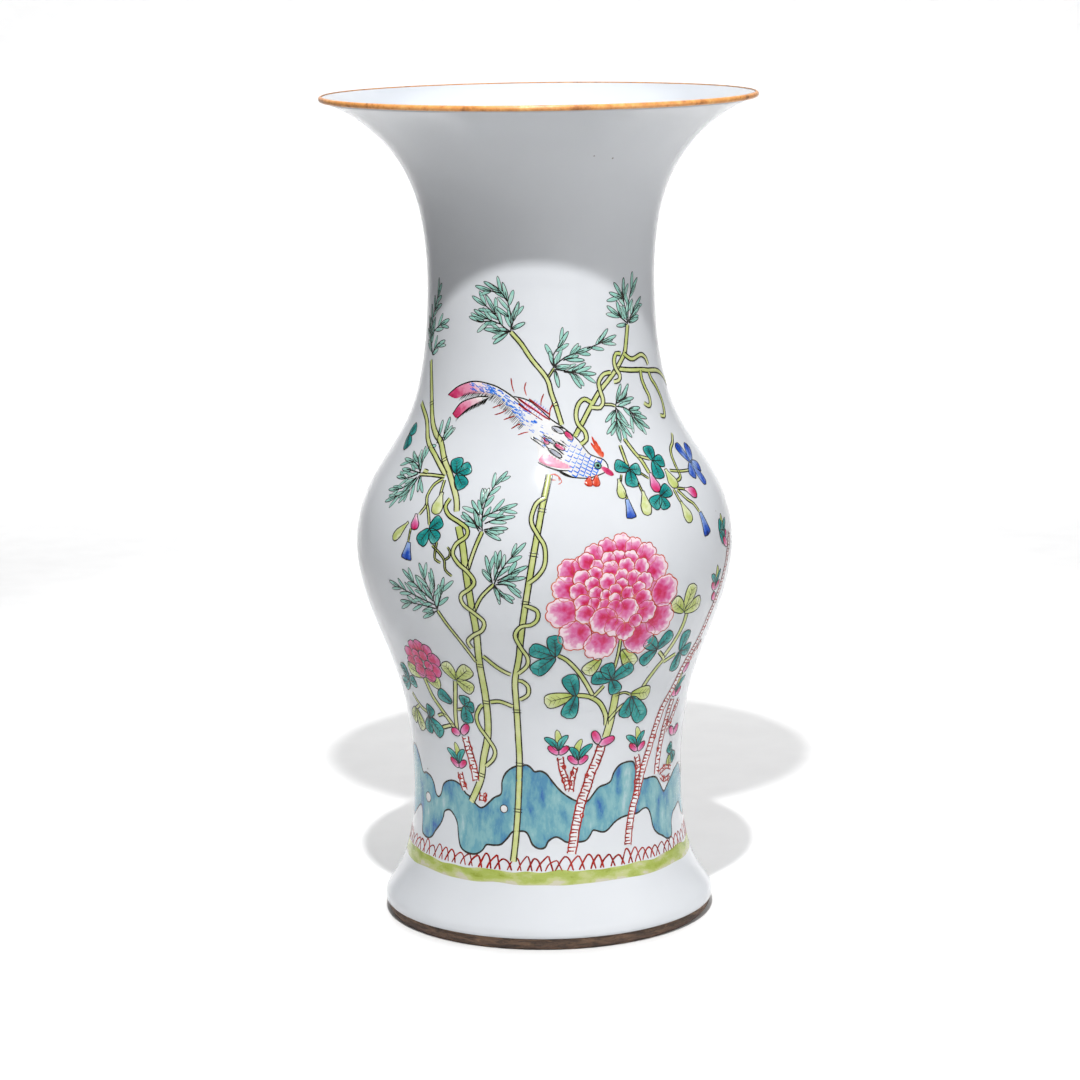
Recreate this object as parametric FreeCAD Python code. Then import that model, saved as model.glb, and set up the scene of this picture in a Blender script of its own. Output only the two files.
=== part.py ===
import FreeCAD, Part
import math
import os

# Porcelain vase with a trumpet mouth, a swollen belly, a narrow waist and a
# spreading foot.  Millimetres, +Z up, origin at the centre of the resting face.

# ---- driving dimensions ------------------------------------------------------
HEIGHT = 450.0            # resting face to the top of the lip
GLAZE = 0.6               # clear glaze over the clay, inside and out
ENAMEL = 0.4              # painted enamel standing proud of the glaze
DRESSING = 0.5            # brown dressing on the lip
SEAM = 1.0                # slip between two thrown sections

# Finished outer surface, foot to lip, as (height, radius).
FOOT_EDGE = (6.9, 90.9)
OUTER_STATIONS = (
    FOOT_EDGE,
    (10.4, 90.9),
    (13.2, 89.5),         # turned edge of the foot
    (17.5, 86.6),
    (22.0, 83.8),
    (34.0, 78.7),         # spread of the foot
    (50.0, 75.2),
    (74.0, 73.8),         # waist
    (104.0, 75.7),
    (126.0, 79.6),
    (150.0, 87.4),
    (176.0, 97.4),
    (205.0, 102.7),       # belly
    (232.0, 98.2),
    (256.0, 85.1),        # shoulder
    (276.0, 73.3),
    (300.0, 65.8),
    (346.0, 61.5),        # neck
    (376.0, 62.9),
    (400.0, 68.3),
    (420.0, 79.2),
    (434.0, 92.6),        # trumpet mouth
    (442.0, 104.3),
)

# Nose of the lip: a round edge that the outer surface runs into.
NOSE_R = 1.0
NOSE_CENTRE = (HEIGHT - NOSE_R - DRESSING, 117.8 - NOSE_R - DRESSING)
NOSE_START = -70.0        # degrees from the horizontal, outer surface joins here
NOSE_TOP = 90.0           # the dressing stops on top of the lip
NOSE_END = 110.0          # inner surface leaves here

# Whole wall thickness by height, measured square to the outer surface.
WALL_STATIONS = (
    (0.0, 11.0),
    (21.0, 9.4),
    (45.0, 7.0),
    (110.0, 5.6),
    (205.0, 5.6),
    (262.0, 5.2),
    (346.0, 4.8),
    (415.0, 4.0),
    (438.0, 2.9),
    (447.0, 2.0),         # as thick as the nose of the lip
)

# Base and foot ring.
BASE_UNDERSIDE = 12.0
BASE_TOP = 21.0
REST_OUTER_R = 87.4
REST_INNER_R = 80.0
RING_INNER_CHAMFER = 2.0
BASE_GLAZE_SKIRT_Z = 7.6  # glaze runs down the recess wall to here

# Where the thrown sections are luted together.
LOWER_SEAM_Z = 112.0
UPPER_SEAM_Z = 262.0

# Enamel painting.
GRASS_BAND = (32.0, 38.5)         # low and high edge of the grass band
ROCK_BAND = (51.0, 68.0)          # unbroken part of the rocks
ROCK_TOP = 120.0                  # above every boulder
ROCK_MOUNDS = (                   # angle, half width, height of each boulder
    (-150.0, 21.0, 40.0),
    (-124.0, 18.0, 53.0),
    (-98.0, 20.0, 45.0),
    (-73.0, 18.0, 56.0),
    (-48.0, 20.0, 47.0),
    (-23.0, 19.0, 53.0),
    (8.0, 21.0, 42.0),
    (39.0, 22.0, 49.0),
    (70.0, 20.0, 55.0),
    (101.0, 22.0, 43.0),
    (133.0, 20.0, 51.0),
    (165.0, 22.0, 47.0),
    (188.0, 19.0, 39.0),
)
PEONY_ANGLE = -68.0
PEONY_Z = 192.0
PEONY_R = 33.0
PEONY_LOBES = 11
PEONY_LOBE_DEPTH = 2.2
BIRD_ANGLE = -81.0
BIRD_Z = 271.0
BIRD_REACH = 50.0                 # layer is cut this far above and below the body
BIRD_OUTLINE = (                  # across and up from the middle of the body
    (-46.0, 31.0),
    (-28.0, 23.0),
    (-8.0, 14.0),
    (6.0, 8.0),
    (14.0, -2.0),
    (20.0, -10.0),
    (23.0, -17.0),
    (14.0, -21.0),
    (2.0, -15.0),
    (-9.0, -4.0),
    (-28.0, 11.0),
    (-46.0, 20.0),
)

SPLITS = 4                # points per span of the outer curve that carry an offset


def point(height, radius):
    """Point of the turning profile, in the XZ plane."""
    return FreeCAD.Vector(radius, 0.0, height)


def around_nose(radius, degrees):
    """Point on a circle about the centre of the lip's nose."""
    a = math.radians(degrees)
    height, reach = NOSE_CENTRE
    return point(height + radius * math.sin(a), reach + radius * math.cos(a))


def nose_arc(radius, first, last):
    """Arc about the centre of the lip's nose."""
    middle = around_nose(radius, 0.5 * (first + last))
    return Part.Arc(around_nose(radius, first), middle, around_nose(radius, last)).toShape()


def lip_direction():
    """Direction in which the outer surface runs into the nose."""
    a = math.radians(NOSE_START + 90.0)
    return FreeCAD.Vector(math.cos(a), 0.0, math.sin(a))


def smooth(points, first_tangent, last_tangent):
    """Smooth curve through points, spaced by chord length, with given end directions."""
    lengths = [0.0]
    for a, b in zip(points, points[1:]):
        lengths.append(lengths[-1] + (b - a).Length)
    curve = Part.BSplineCurve()
    curve.interpolate(Points=points, Parameters=lengths, Scale=False,
                      InitialTangent=first_tangent, FinalTangent=last_tangent)
    return curve


def outer_curve():
    """Finished outer surface from the foot edge to the nose of the lip."""
    points = [point(*station) for station in OUTER_STATIONS]
    points.append(around_nose(NOSE_R, NOSE_START))
    return smooth(points, FreeCAD.Vector(0.0, 0.0, 1.0), lip_direction())


def wall_at(height):
    """Wall thickness at a height, joined by straight lines between stations."""
    for (low, thin), (high, thick) in zip(WALL_STATIONS, WALL_STATIONS[1:]):
        if height <= high:
            share = (height - low) / (high - low)
            return thin + share * (thick - thin)
    return WALL_STATIONS[-1][1]


def offset_curve(base, depth_at):
    """Curve a given depth inside the base curve; depth_at takes a height."""
    knots = base.getKnots()
    places = [knots[0]]
    for start, end in zip(knots, knots[1:]):
        places += [start + (end - start) * (i + 1) / SPLITS for i in range(SPLITS)]
    points = []
    for u in places:
        on_curve = base.value(u)
        along = base.tangent(u)[0]
        inward = FreeCAD.Vector(-along.z, 0.0, along.x)
        points.append(on_curve + inward * depth_at(on_curve.z))
    return smooth(points, base.tangent(places[0])[0], base.tangent(places[-1])[0])


def parameter_at(curve, height):
    """Parameter at which a rising curve reaches a height."""
    low, high = curve.FirstParameter, curve.LastParameter
    for _ in range(60):
        middle = 0.5 * (low + high)
        if curve.value(middle).z < height:
            low = middle
        else:
            high = middle
    return 0.5 * (low + high)


def radius_at(curve, height):
    return curve.value(parameter_at(curve, height)).x


def piece_of(curve, low=None, high=None):
    """Edge of a rising curve between two heights."""
    start = curve.FirstParameter if low is None else parameter_at(curve, low)
    end = curve.LastParameter if high is None else parameter_at(curve, high)
    return curve.toShape(start, end)


def ends(edge):
    return edge.valueAt(edge.FirstParameter), edge.valueAt(edge.LastParameter)


def line(a, b):
    return Part.makeLine(a, b)


def turned(edges):
    """Solid of revolution about Z from the edges of a closed outline."""
    wire = Part.Wire(Part.__sortEdges__(edges))
    face = Part.Face(wire)
    solid = face.revolve(FreeCAD.Vector(), FreeCAD.Vector(0.0, 0.0, 1.0), 360.0)
    return as_solid(solid)


def turned_polygon(corners):
    """Solid of revolution from straight-sided corners given as (height, radius)."""
    points = [point(*corner) for corner in corners]
    return turned([line(a, b) for a, b in zip(points, points[1:] + points[:1])])


def as_solid(shape):
    """One valid solid with outward faces."""
    solid = shape.Solids[0] if shape.Solids else Part.Solid(shape.Shells[0])
    if solid.Volume < 0.0:
        solid.reverse()
    return solid


def layer_between(outside, inside, low, high):
    """Turned ring between two rising curves, cut level at two heights."""
    outer_edge = piece_of(outside, low, high)
    inner_edge = piece_of(inside, low, high)
    outer_low, outer_high = ends(outer_edge)
    inner_low, inner_high = ends(inner_edge)
    edges = [outer_edge, line(outer_high, inner_high), inner_edge, line(inner_low, outer_low)]
    return turned(edges)


# ---- surfaces shared by neighbouring pieces ------------------------------------
OUTER = outer_curve()
CLAY_OUTER = offset_curve(OUTER, lambda height: GLAZE)
CLAY_INNER = offset_curve(OUTER, lambda height: wall_at(height) - GLAZE)
INNER = offset_curve(OUTER, wall_at)
SEAT_R = radius_at(CLAY_INNER, BASE_TOP)


def neck_section():
    """Thrown neck and trumpet mouth, up to the clay nose of the lip."""
    low = UPPER_SEAM_Z + 0.5 * SEAM
    outer_edge = piece_of(CLAY_OUTER, low)
    inner_edge = piece_of(CLAY_INNER, low)
    nose = nose_arc(NOSE_R - GLAZE, NOSE_START, NOSE_END)
    foot = line(ends(inner_edge)[0], ends(outer_edge)[0])
    return turned([outer_edge, nose, inner_edge, foot])


def belly_section():
    """Thrown belly and shoulder."""
    low = LOWER_SEAM_Z + 0.5 * SEAM
    high = UPPER_SEAM_Z - 0.5 * SEAM
    return layer_between(CLAY_OUTER, CLAY_INNER, low, high)


def foot_section():
    """Thrown waist and spreading foot, with a seat for the base disc."""
    high = LOWER_SEAM_Z - 0.5 * SEAM
    outer_edge = piece_of(CLAY_OUTER, None, high)
    inner_edge = piece_of(CLAY_INNER, BASE_TOP, high)
    seat_top = ends(inner_edge)[0]
    seat_low = point(FOOT_EDGE[0], SEAT_R)
    edges = [
        outer_edge,
        line(ends(outer_edge)[1], ends(inner_edge)[1]),
        inner_edge,
        line(seat_top, seat_low),
        line(seat_low, ends(outer_edge)[0]),
    ]
    return turned(edges)


def seam_ring(height):
    """Slip that joins two thrown sections."""
    return layer_between(CLAY_OUTER, CLAY_INNER, height - 0.5 * SEAM, height + 0.5 * SEAM)


def base_disc():
    """Flat base let into the foot section."""
    disc = Part.makeCylinder(SEAT_R, BASE_TOP - BASE_UNDERSIDE)
    disc.translate(FreeCAD.Vector(0.0, 0.0, BASE_UNDERSIDE))
    return disc


def foot_ring():
    """Bare turned ring that the vase stands on, bevelled outside."""
    top = FOOT_EDGE[0]
    outer_top = ends(piece_of(CLAY_OUTER))[0]
    rest_outer = point(0.0, REST_OUTER_R)
    bevel_middle = point(0.42 * top, FOOT_EDGE[1] - 1.3)
    rest_inner = point(0.0, REST_INNER_R)
    inner_low = point(RING_INNER_CHAMFER, SEAT_R)
    inner_top = point(top, SEAT_R)
    edges = [
        Part.Arc(outer_top, bevel_middle, rest_outer).toShape(),
        line(rest_outer, rest_inner),
        line(rest_inner, inner_low),
        line(inner_low, inner_top),
        line(inner_top, outer_top),
    ]
    return turned(edges)


def outer_glaze():
    """Clear glaze from the foot edge up and over the nose of the lip."""
    edges = [
        piece_of(OUTER),
        nose_arc(NOSE_R, NOSE_START, NOSE_END),
        line(around_nose(NOSE_R, NOSE_END), around_nose(NOSE_R - GLAZE, NOSE_END)),
        nose_arc(NOSE_R - GLAZE, NOSE_START, NOSE_END),
        piece_of(CLAY_OUTER),
        line(ends(piece_of(CLAY_OUTER))[0], ends(piece_of(OUTER))[0]),
    ]
    return turned(edges)


def inner_glaze():
    """Clear glaze down the inside wall and across the floor."""
    floor = BASE_TOP + GLAZE
    finished = piece_of(INNER, floor)
    clay = piece_of(CLAY_INNER, BASE_TOP)
    axis_low = point(BASE_TOP, 0.0)
    axis_high = point(floor, 0.0)
    edges = [
        finished,
        line(ends(finished)[1], ends(clay)[1]),
        clay,
        line(ends(clay)[0], axis_low),
        line(axis_low, axis_high),
        line(axis_high, ends(finished)[0]),
    ]
    return turned(edges)


def base_glaze():
    """Glaze under the base and a little way down the recess wall."""
    inside = SEAT_R - GLAZE
    underside = BASE_UNDERSIDE - GLAZE
    corners = (
        (BASE_UNDERSIDE, 0.0),
        (BASE_UNDERSIDE, SEAT_R),
        (BASE_GLAZE_SKIRT_Z, SEAT_R),
        (BASE_GLAZE_SKIRT_Z, inside),
        (underside, inside),
        (underside, 0.0),
    )
    return turned_polygon(corners)


def rim_dressing():
    """Brown dressing round the outside of the lip."""
    outside = NOSE_R + DRESSING
    edges = [
        nose_arc(outside, NOSE_START, NOSE_TOP),
        line(around_nose(outside, NOSE_TOP), around_nose(NOSE_R, NOSE_TOP)),
        nose_arc(NOSE_R, NOSE_START, NOSE_TOP),
        line(around_nose(NOSE_R, NOSE_START), around_nose(outside, NOSE_START)),
    ]
    return turned(edges)


# ---- enamel painting -----------------------------------------------------------
ENAMEL_OUTER = offset_curve(OUTER, lambda height: -ENAMEL)


def grass_band():
    """Painted ground line round the foot."""
    return layer_between(ENAMEL_OUTER, OUTER, *GRASS_BAND)


def closed_outline(points):
    """Smooth closed face in the plane y = 0 through (across, up) points."""
    curve = Part.BSplineCurve()
    places = [FreeCAD.Vector(across, 0.0, up) for across, up in points]
    curve.interpolate(Points=places, PeriodicFlag=True)
    return Part.Face(Part.Wire(curve.toShape()))


def enamel_patch(face, angle, height, low, high):
    """Part of the enamel layer inside a face that is pushed out sideways.

    angle is round the vase from +X; the face sits at the given height.
    """
    cutter = face.extrude(FreeCAD.Vector(0.0, -2.0 * FOOT_EDGE[1], 0.0))
    cutter.translate(FreeCAD.Vector(0.0, 0.0, height))
    cutter.rotate(FreeCAD.Vector(), FreeCAD.Vector(0.0, 0.0, 1.0), angle + 90.0)
    layer = layer_between(ENAMEL_OUTER, OUTER, low, high)
    return layer.common(cutter)


def mound_face(half_width, height):
    """Outline of one boulder, standing on a level foot."""
    crown = Part.BSplineCurve()
    crown.interpolate([
        FreeCAD.Vector(-half_width, 0.0, 0.0),
        FreeCAD.Vector(-0.82 * half_width, 0.0, 0.62 * height),
        FreeCAD.Vector(-0.25 * half_width, 0.0, height),
        FreeCAD.Vector(0.45 * half_width, 0.0, 0.86 * height),
        FreeCAD.Vector(0.93 * half_width, 0.0, 0.48 * height),
        FreeCAD.Vector(half_width, 0.0, 0.0),
    ])
    edge = crown.toShape()
    left, right = ends(edge)
    return Part.Face(Part.Wire([edge, line(right, left)]))


def rock_band():
    """Ring of painted boulders above the grass band."""
    low = ROCK_BAND[0]
    patches = [
        enamel_patch(mound_face(half_width, height), angle, low, low, ROCK_TOP)
        for angle, half_width, height in ROCK_MOUNDS
    ]
    band = layer_between(ENAMEL_OUTER, OUTER, *ROCK_BAND).multiFuse(patches)
    return as_solid(band.removeSplitter())


def peony():
    """Lobed disc of enamel under the large flower."""
    points = []
    for i in range(4 * PEONY_LOBES):
        turn = 2.0 * math.pi * i / (4 * PEONY_LOBES)
        reach = PEONY_R + PEONY_LOBE_DEPTH * math.cos(PEONY_LOBES * turn)
        points.append((reach * math.cos(turn), reach * math.sin(turn)))
    face = closed_outline(points)
    span = PEONY_R + 2.0 * PEONY_LOBE_DEPTH
    patch = enamel_patch(face, PEONY_ANGLE, PEONY_Z, PEONY_Z - span, PEONY_Z + span)
    return as_solid(patch)


def pheasant():
    """Enamel under the long-tailed bird."""
    face = closed_outline(BIRD_OUTLINE)
    patch = enamel_patch(face, BIRD_ANGLE, BIRD_Z, BIRD_Z - BIRD_REACH, BIRD_Z + BIRD_REACH)
    return as_solid(patch)


def main():
    nodes = {
        "neck_section": neck_section(),
        "belly_section": belly_section(),
        "foot_section": foot_section(),
        "upper_luting_seam": seam_ring(UPPER_SEAM_Z),
        "lower_luting_seam": seam_ring(LOWER_SEAM_Z),
        "base_disc": base_disc(),
        "foot_ring": foot_ring(),
        "outer_glaze": outer_glaze(),
        "inner_glaze": inner_glaze(),
        "base_glaze": base_glaze(),
        "rim_dressing": rim_dressing(),
        "grass_band_enamel": grass_band(),
        "rock_band_enamel": rock_band(),
        "peony_enamel": peony(),
        "pheasant_enamel": pheasant(),
    }
    os.makedirs("parts", exist_ok=True)
    for name, shape in nodes.items():
        shape.exportStep("parts/" + name + ".step")
        print(name, "valid", shape.isValid(), "solids", len(shape.Solids),
              "volume", round(shape.Volume, 1))


main()
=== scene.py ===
import math
import random

import bpy
from mathutils import Matrix, Vector, noise
from mathutils.bvhtree import BVHTree


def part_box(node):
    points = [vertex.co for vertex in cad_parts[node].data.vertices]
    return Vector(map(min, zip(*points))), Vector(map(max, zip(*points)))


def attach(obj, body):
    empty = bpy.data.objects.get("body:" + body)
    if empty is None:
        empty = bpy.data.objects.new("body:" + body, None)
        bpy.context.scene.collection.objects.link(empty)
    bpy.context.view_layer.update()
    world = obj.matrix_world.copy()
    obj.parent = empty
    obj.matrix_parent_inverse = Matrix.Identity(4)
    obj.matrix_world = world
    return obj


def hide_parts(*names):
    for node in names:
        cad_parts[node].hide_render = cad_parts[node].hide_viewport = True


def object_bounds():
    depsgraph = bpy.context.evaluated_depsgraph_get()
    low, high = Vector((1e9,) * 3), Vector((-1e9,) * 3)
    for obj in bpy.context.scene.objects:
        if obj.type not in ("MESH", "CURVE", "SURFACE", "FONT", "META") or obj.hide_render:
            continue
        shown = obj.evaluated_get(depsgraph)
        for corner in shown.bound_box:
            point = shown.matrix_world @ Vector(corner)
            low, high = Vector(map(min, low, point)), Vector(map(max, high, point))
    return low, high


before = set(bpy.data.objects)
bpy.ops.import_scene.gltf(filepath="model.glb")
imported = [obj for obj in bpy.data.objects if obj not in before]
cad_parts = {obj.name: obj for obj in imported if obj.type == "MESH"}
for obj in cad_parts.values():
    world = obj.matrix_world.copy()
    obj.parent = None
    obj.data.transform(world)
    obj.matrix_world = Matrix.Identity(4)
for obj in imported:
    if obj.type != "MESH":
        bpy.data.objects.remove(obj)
cad_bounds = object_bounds()

MM = 0.001
TURN = 2.0 * math.pi

# ---- sizes taken from the frame ------------------------------------------------
FLOOR_Z = cad_bounds[0][2]
FOOT_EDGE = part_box("outer_glaze")[0][2] / MM      # where the glaze stops above the bare ring
LIP_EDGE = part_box("rim_dressing")[0][2] / MM      # where the brown dressing starts


# ---- surface of the vase ---------------------------------------------------------
def smooth(p0, p1, p2, p3, t):
    """Value between p1 and p2 on the smooth curve through four stations."""
    return p1 + 0.5 * t * (p2 - p0 + t * (2 * p0 - 5 * p1 + 4 * p2 - p3 + t * (3 * (p1 - p2) + p3 - p0)))


def ray_radius(tree, height, rays=24):
    """Radius in mm of the first surface met from outside at a height."""
    outside = 0.5          # m, well clear of the vase
    found = 0.0
    for i in range(rays):
        a = TURN * (i + 0.5) / rays
        out = Vector((math.cos(a), math.sin(a), 0.0))
        hit = tree.ray_cast(out * outside + Vector((0.0, 0.0, height * MM)), -out)[0]
        if hit:
            found = max(found, math.hypot(hit.x, hit.y) / MM)
    return found


class Skin:
    """Turned outer surface: radius by height, with the faint swell of handwork. Sizes in mm."""

    STEP = 1.5         # between the heights where the radius is read
    MARGIN = 0.05      # kept clear of the ends of the glaze
    FADE = 12.0        # the swell dies out over this height at both ends
    SWELL, SWELL_HEIGHT = 0.35, 55.0
    RINGS, RING_HEIGHT = 0.035, 5.2

    def __init__(self, node, low, high):
        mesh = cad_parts[node].data
        tree = BVHTree.FromPolygons([v.co for v in mesh.vertices], [p.vertices for p in mesh.polygons])
        self.low = low + self.MARGIN
        self.high = high - self.MARGIN
        self.count = int((self.high - self.low) / self.STEP)
        self.step = (self.high - self.low) / self.count
        raw = [ray_radius(tree, self.low + i * self.step) for i in range(self.count + 1)]
        inside = [0.25 * (a + 2.0 * b + c) for a, b, c in zip(raw, raw[1:], raw[2:])]
        self.radii = [raw[0]] + inside + [raw[-1]]

    def turned(self, height):
        """Radius of the plain turned form."""
        at = min(max((height - self.low) / self.step, 0.0), self.count - 1e-6)
        i = int(at)
        p1, p2 = self.radii[i], self.radii[i + 1]
        p0 = self.radii[i - 1] if i else 2.0 * p1 - p2
        p3 = self.radii[i + 2] if i + 2 <= self.count else 2.0 * p2 - p1
        return smooth(p0, p1, p2, p3, at - i)

    def slope(self, height):
        return self.turned(height + 0.5) - self.turned(height - 0.5)

    def stretch(self, height):
        """Length along the surface for each mm of height."""
        return math.hypot(1.0, self.slope(height))

    def swell(self, angle, height):
        """Unevenness left by hand."""
        a = math.radians(angle)
        ends = (height - self.low) / self.FADE, (self.high - height) / self.FADE
        wide = noise.noise(Vector((1.3 * math.cos(a), 1.3 * math.sin(a), height / self.SWELL_HEIGHT)))
        rings = math.sin(height / self.RING_HEIGHT + 1.5 * wide)
        return min(1.0, max(0.0, ends[0]), max(0.0, ends[1])) * (self.SWELL * wide + self.RINGS * rings)

    def point(self, angle, height, lift=0.0):
        """Place in metres of a spot on the surface, lifted along the normal by mm."""
        a = math.radians(angle)
        slope = self.slope(height)
        size = math.hypot(1.0, slope)
        radius = self.turned(height) + self.swell(angle, height) + lift / size
        return Vector((radius * math.cos(a), radius * math.sin(a), height - lift * slope / size)) * MM

    def shift(self, angle, height, across, along):
        """Spot reached by going across and up the surface by mm."""
        return angle + math.degrees(across / self.turned(height)), height + along / self.stretch(height)


skin = Skin("outer_glaze", FOOT_EDGE, LIP_EDGE)


# ---- materials -------------------------------------------------------------------
class Look:
    """Material round one Principled shader, with its noise in object space."""

    def __init__(self, name, ior=None):
        self.mat = bpy.data.materials.new(name)
        self.mat.use_nodes = True
        self.nodes = self.mat.node_tree.nodes
        self.link = self.mat.node_tree.links.new
        self.shader = self.nodes["Principled BSDF"]
        if ior:
            self.shader.inputs["IOR"].default_value = ior

    def node(self, kind, **values):
        """New node with constants on its sockets."""
        node = self.nodes.new(kind)
        for name, value in values.items():
            node.inputs[name.replace("_", " ")].default_value = value
        return node

    def place(self):
        return self.node("ShaderNodeTexCoord").outputs["Object"]

    def noise(self, scale, detail=4.0, rough=0.55, stretch=None, distort=0.0):
        """Noise with scale in features per metre."""
        tex = self.node("ShaderNodeTexNoise", Scale=scale, Detail=detail, Roughness=rough, Distortion=distort)
        place = self.place()
        if stretch:
            mapping = self.node("ShaderNodeMapping", Scale=stretch)
            self.link(place, mapping.inputs["Vector"])
            place = mapping.outputs["Vector"]
        self.link(place, tex.inputs["Vector"])
        return tex.outputs["Fac"]

    def ramp(self, source, *stops):
        """Colour ramp through (place, colour) stops."""
        ramp = self.node("ShaderNodeValToRGB")
        ramp.color_ramp.interpolation = "EASE"
        line = ramp.color_ramp.elements
        for end in (0, -1):
            line[end].position, line[end].color = stops[end][0], (*stops[end][1], 1.0)
        for place, colour in stops[1:-1]:
            line.new(place).color = (*colour, 1.0)
        self.link(source, ramp.inputs["Fac"])
        return ramp.outputs["Color"]

    def cover(self, under, over, share):
        """Colour covered by a constant colour where share is high."""
        mix = self.node("ShaderNodeMix")
        mix.data_type = "RGBA"
        self.link(share, mix.inputs[0])
        self.link(under, mix.inputs[6])
        mix.inputs[7].default_value = (*over, 1.0)
        return mix.outputs[2]

    def remap(self, source, low, high, to_low, to_high):
        node = self.node("ShaderNodeMapRange", From_Min=low, From_Max=high, To_Min=to_low, To_Max=to_high)
        self.link(source, node.inputs["Value"])
        return node.outputs["Result"]

    def math(self, operation, *sources):
        node = self.node("ShaderNodeMath")
        node.operation = operation
        for source, socket in zip(sources, node.inputs):
            if isinstance(source, float):
                socket.default_value = source
            else:
                self.link(source, socket)
        return node.outputs[0]

    def finish(self, colour, wear, smoothest, roughest, relief=None, depth=0.0, strength=1.0):
        """Colour, roughness that follows wear, and relief of a depth in metres."""
        self.link(colour, self.shader.inputs["Base Color"])
        self.link(self.remap(wear, 0.3, 0.7, smoothest, roughest), self.shader.inputs["Roughness"])
        if relief:
            bump = self.node("ShaderNodeBump", Strength=strength, Distance=depth)
            self.link(relief, bump.inputs["Height"])
            self.link(bump.outputs["Normal"], self.shader.inputs["Normal"])
        return self.mat


def porcelain(name, light, dark, specks):
    """White body under a clear bluish glaze, with faint clouds and kiln specks."""
    look = Look(name, 1.26)
    colour = look.ramp(look.noise(14.0, 3.0), (0.3, dark), (0.7, light))
    if specks:
        cells = look.node("ShaderNodeTexVoronoi", Scale=42.0)
        look.link(look.place(), cells.inputs["Vector"])
        speck = look.remap(cells.outputs["Distance"], 0.012, 0.03, 1.0, 0.0)
        colour = look.cover(colour, (0.16, 0.14, 0.13), speck)
    look.shader.inputs["Subsurface Weight"].default_value = 0.12
    look.shader.inputs["Subsurface Radius"].default_value = (0.004, 0.004, 0.005)
    look.shader.inputs["Subsurface Scale"].default_value = 1.0
    return look.finish(colour, look.noise(60.0, 5.0), 0.07, 0.13, look.noise(35.0, 2.0), 0.0002, 0.35)


def dressing_material():
    """Orange-brown iron dressing, mottled and satin."""
    look = Look("rim_brown")
    colour = look.ramp(look.noise(160.0, 5.0, 0.65), (0.30, (0.36, 0.125, 0.03)),
                       (0.5, (0.72, 0.31, 0.09)), (0.72, (0.86, 0.47, 0.17)))
    fine = look.noise(700.0, 3.0)
    return look.finish(colour, fine, 0.22, 0.42, fine, 0.0001, 0.6)


def biscuit_material():
    """Bare stained foot, streaked along the turning marks."""
    look = Look("bare_foot")
    streaks = look.noise(90.0, 8.0, 0.7, (1.0, 1.0, 5.0), 0.6)
    colour = look.ramp(streaks, (0.30, (0.020, 0.012, 0.009)), (0.44, (0.060, 0.036, 0.024)),
                       (0.56, (0.13, 0.075, 0.046)), (0.72, (0.26, 0.145, 0.08)))
    return look.finish(colour, look.noise(900.0, 6.0, 0.7), 0.65, 0.95, streaks, 0.0012, 0.8)


def clay_material():
    """Matt fired body, hidden under the glaze."""
    look = Look("clay_body")
    grain = look.noise(500.0, 6.0)
    colour = look.ramp(grain, (0.3, (0.76, 0.74, 0.70)), (0.7, (0.84, 0.83, 0.79)))
    return look.finish(colour, grain, 0.6, 0.8, grain, 0.0002, 0.5)


glaze = porcelain("glaze_outside", (0.645, 0.665, 0.70), (0.62, 0.64, 0.675), True)
# Same glaze as outside, its colour painted darker as painted shade inside the vase and under the base.
glaze_inside_painted_shade = porcelain("glaze_inside_painted_shade", (0.55, 0.58, 0.63), (0.525, 0.555, 0.60), False)
clay = clay_material()
NODE_MATERIALS = {"inner_glaze": glaze_inside_painted_shade, "base_glaze": glaze_inside_painted_shade,
                  "rim_dressing": dressing_material(), "foot_ring": biscuit_material()}


# ---- turned pieces -----------------------------------------------------------------
def new_object(name, verts, faces, materials):
    """Smooth mesh object in the scene."""
    mesh = bpy.data.meshes.new(name)
    mesh.from_pydata(verts, [], faces)
    for material in materials:
        mesh.materials.append(material)
    mesh.polygons.foreach_set("use_smooth", [True] * len(mesh.polygons))
    obj = bpy.data.objects.new(name, mesh)
    bpy.context.scene.collection.objects.link(obj)
    return obj


def glaze_shell():
    """Outside of the glaze from the foot edge to the lip, then back against the clay."""
    steps, turns, back = 300, 288, -0.5
    heights = [skin.low + (skin.high - skin.low) * i / steps for i in range(steps + 1)]
    rows = [(h, 0.0) for h in heights] + [(h, back) for h in reversed(heights)]
    verts = [skin.point(360.0 * i / turns, h, lift) for h, lift in rows for i in range(turns)]
    faces = []
    for j in range(len(rows)):
        a, b = j * turns, ((j + 1) % len(rows)) * turns
        for i in range(turns):
            k = (i + 1) % turns
            faces.append((a + i, a + k, b + k, b + i))
    return verts, faces


outer = new_object("glaze_skin", *glaze_shell(), [glaze])
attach(outer, "root")
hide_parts("outer_glaze")

for node_name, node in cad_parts.items():
    node.data.materials.clear()
    node.data.materials.append(NODE_MATERIALS.get(node_name, clay))


# ---- enamel colours ----------------------------------------------------------------
def tint(colour):
    """Linear colour of an enamel from its 0 to 255 screen values as seen in bright light."""
    depth = 0.85
    return tuple(depth * ((c / 255.0 + 0.055) / 1.055) ** 2.4 for c in colour)


def enamel(name, stops, grain=180.0, broken=0.3, stretch=None):
    """Glossy enamel: colour follows the brush load stored at the vertices, broken by noise."""
    look = Look(name, 1.36)
    load = look.node("ShaderNodeAttribute")
    load.attribute_name = "shade"
    drift = look.remap(look.noise(grain, 5.0, 0.6, stretch), 0.25, 0.75, -broken, broken)
    total = look.math("ADD", load.outputs["Fac"], drift)
    colour = look.ramp(total, *((place, tint(c)) for place, c in stops))
    fine = look.noise(900.0, 3.0)
    return look.finish(colour, fine, 0.13, 0.30, fine, 0.00006, 0.5)


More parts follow.
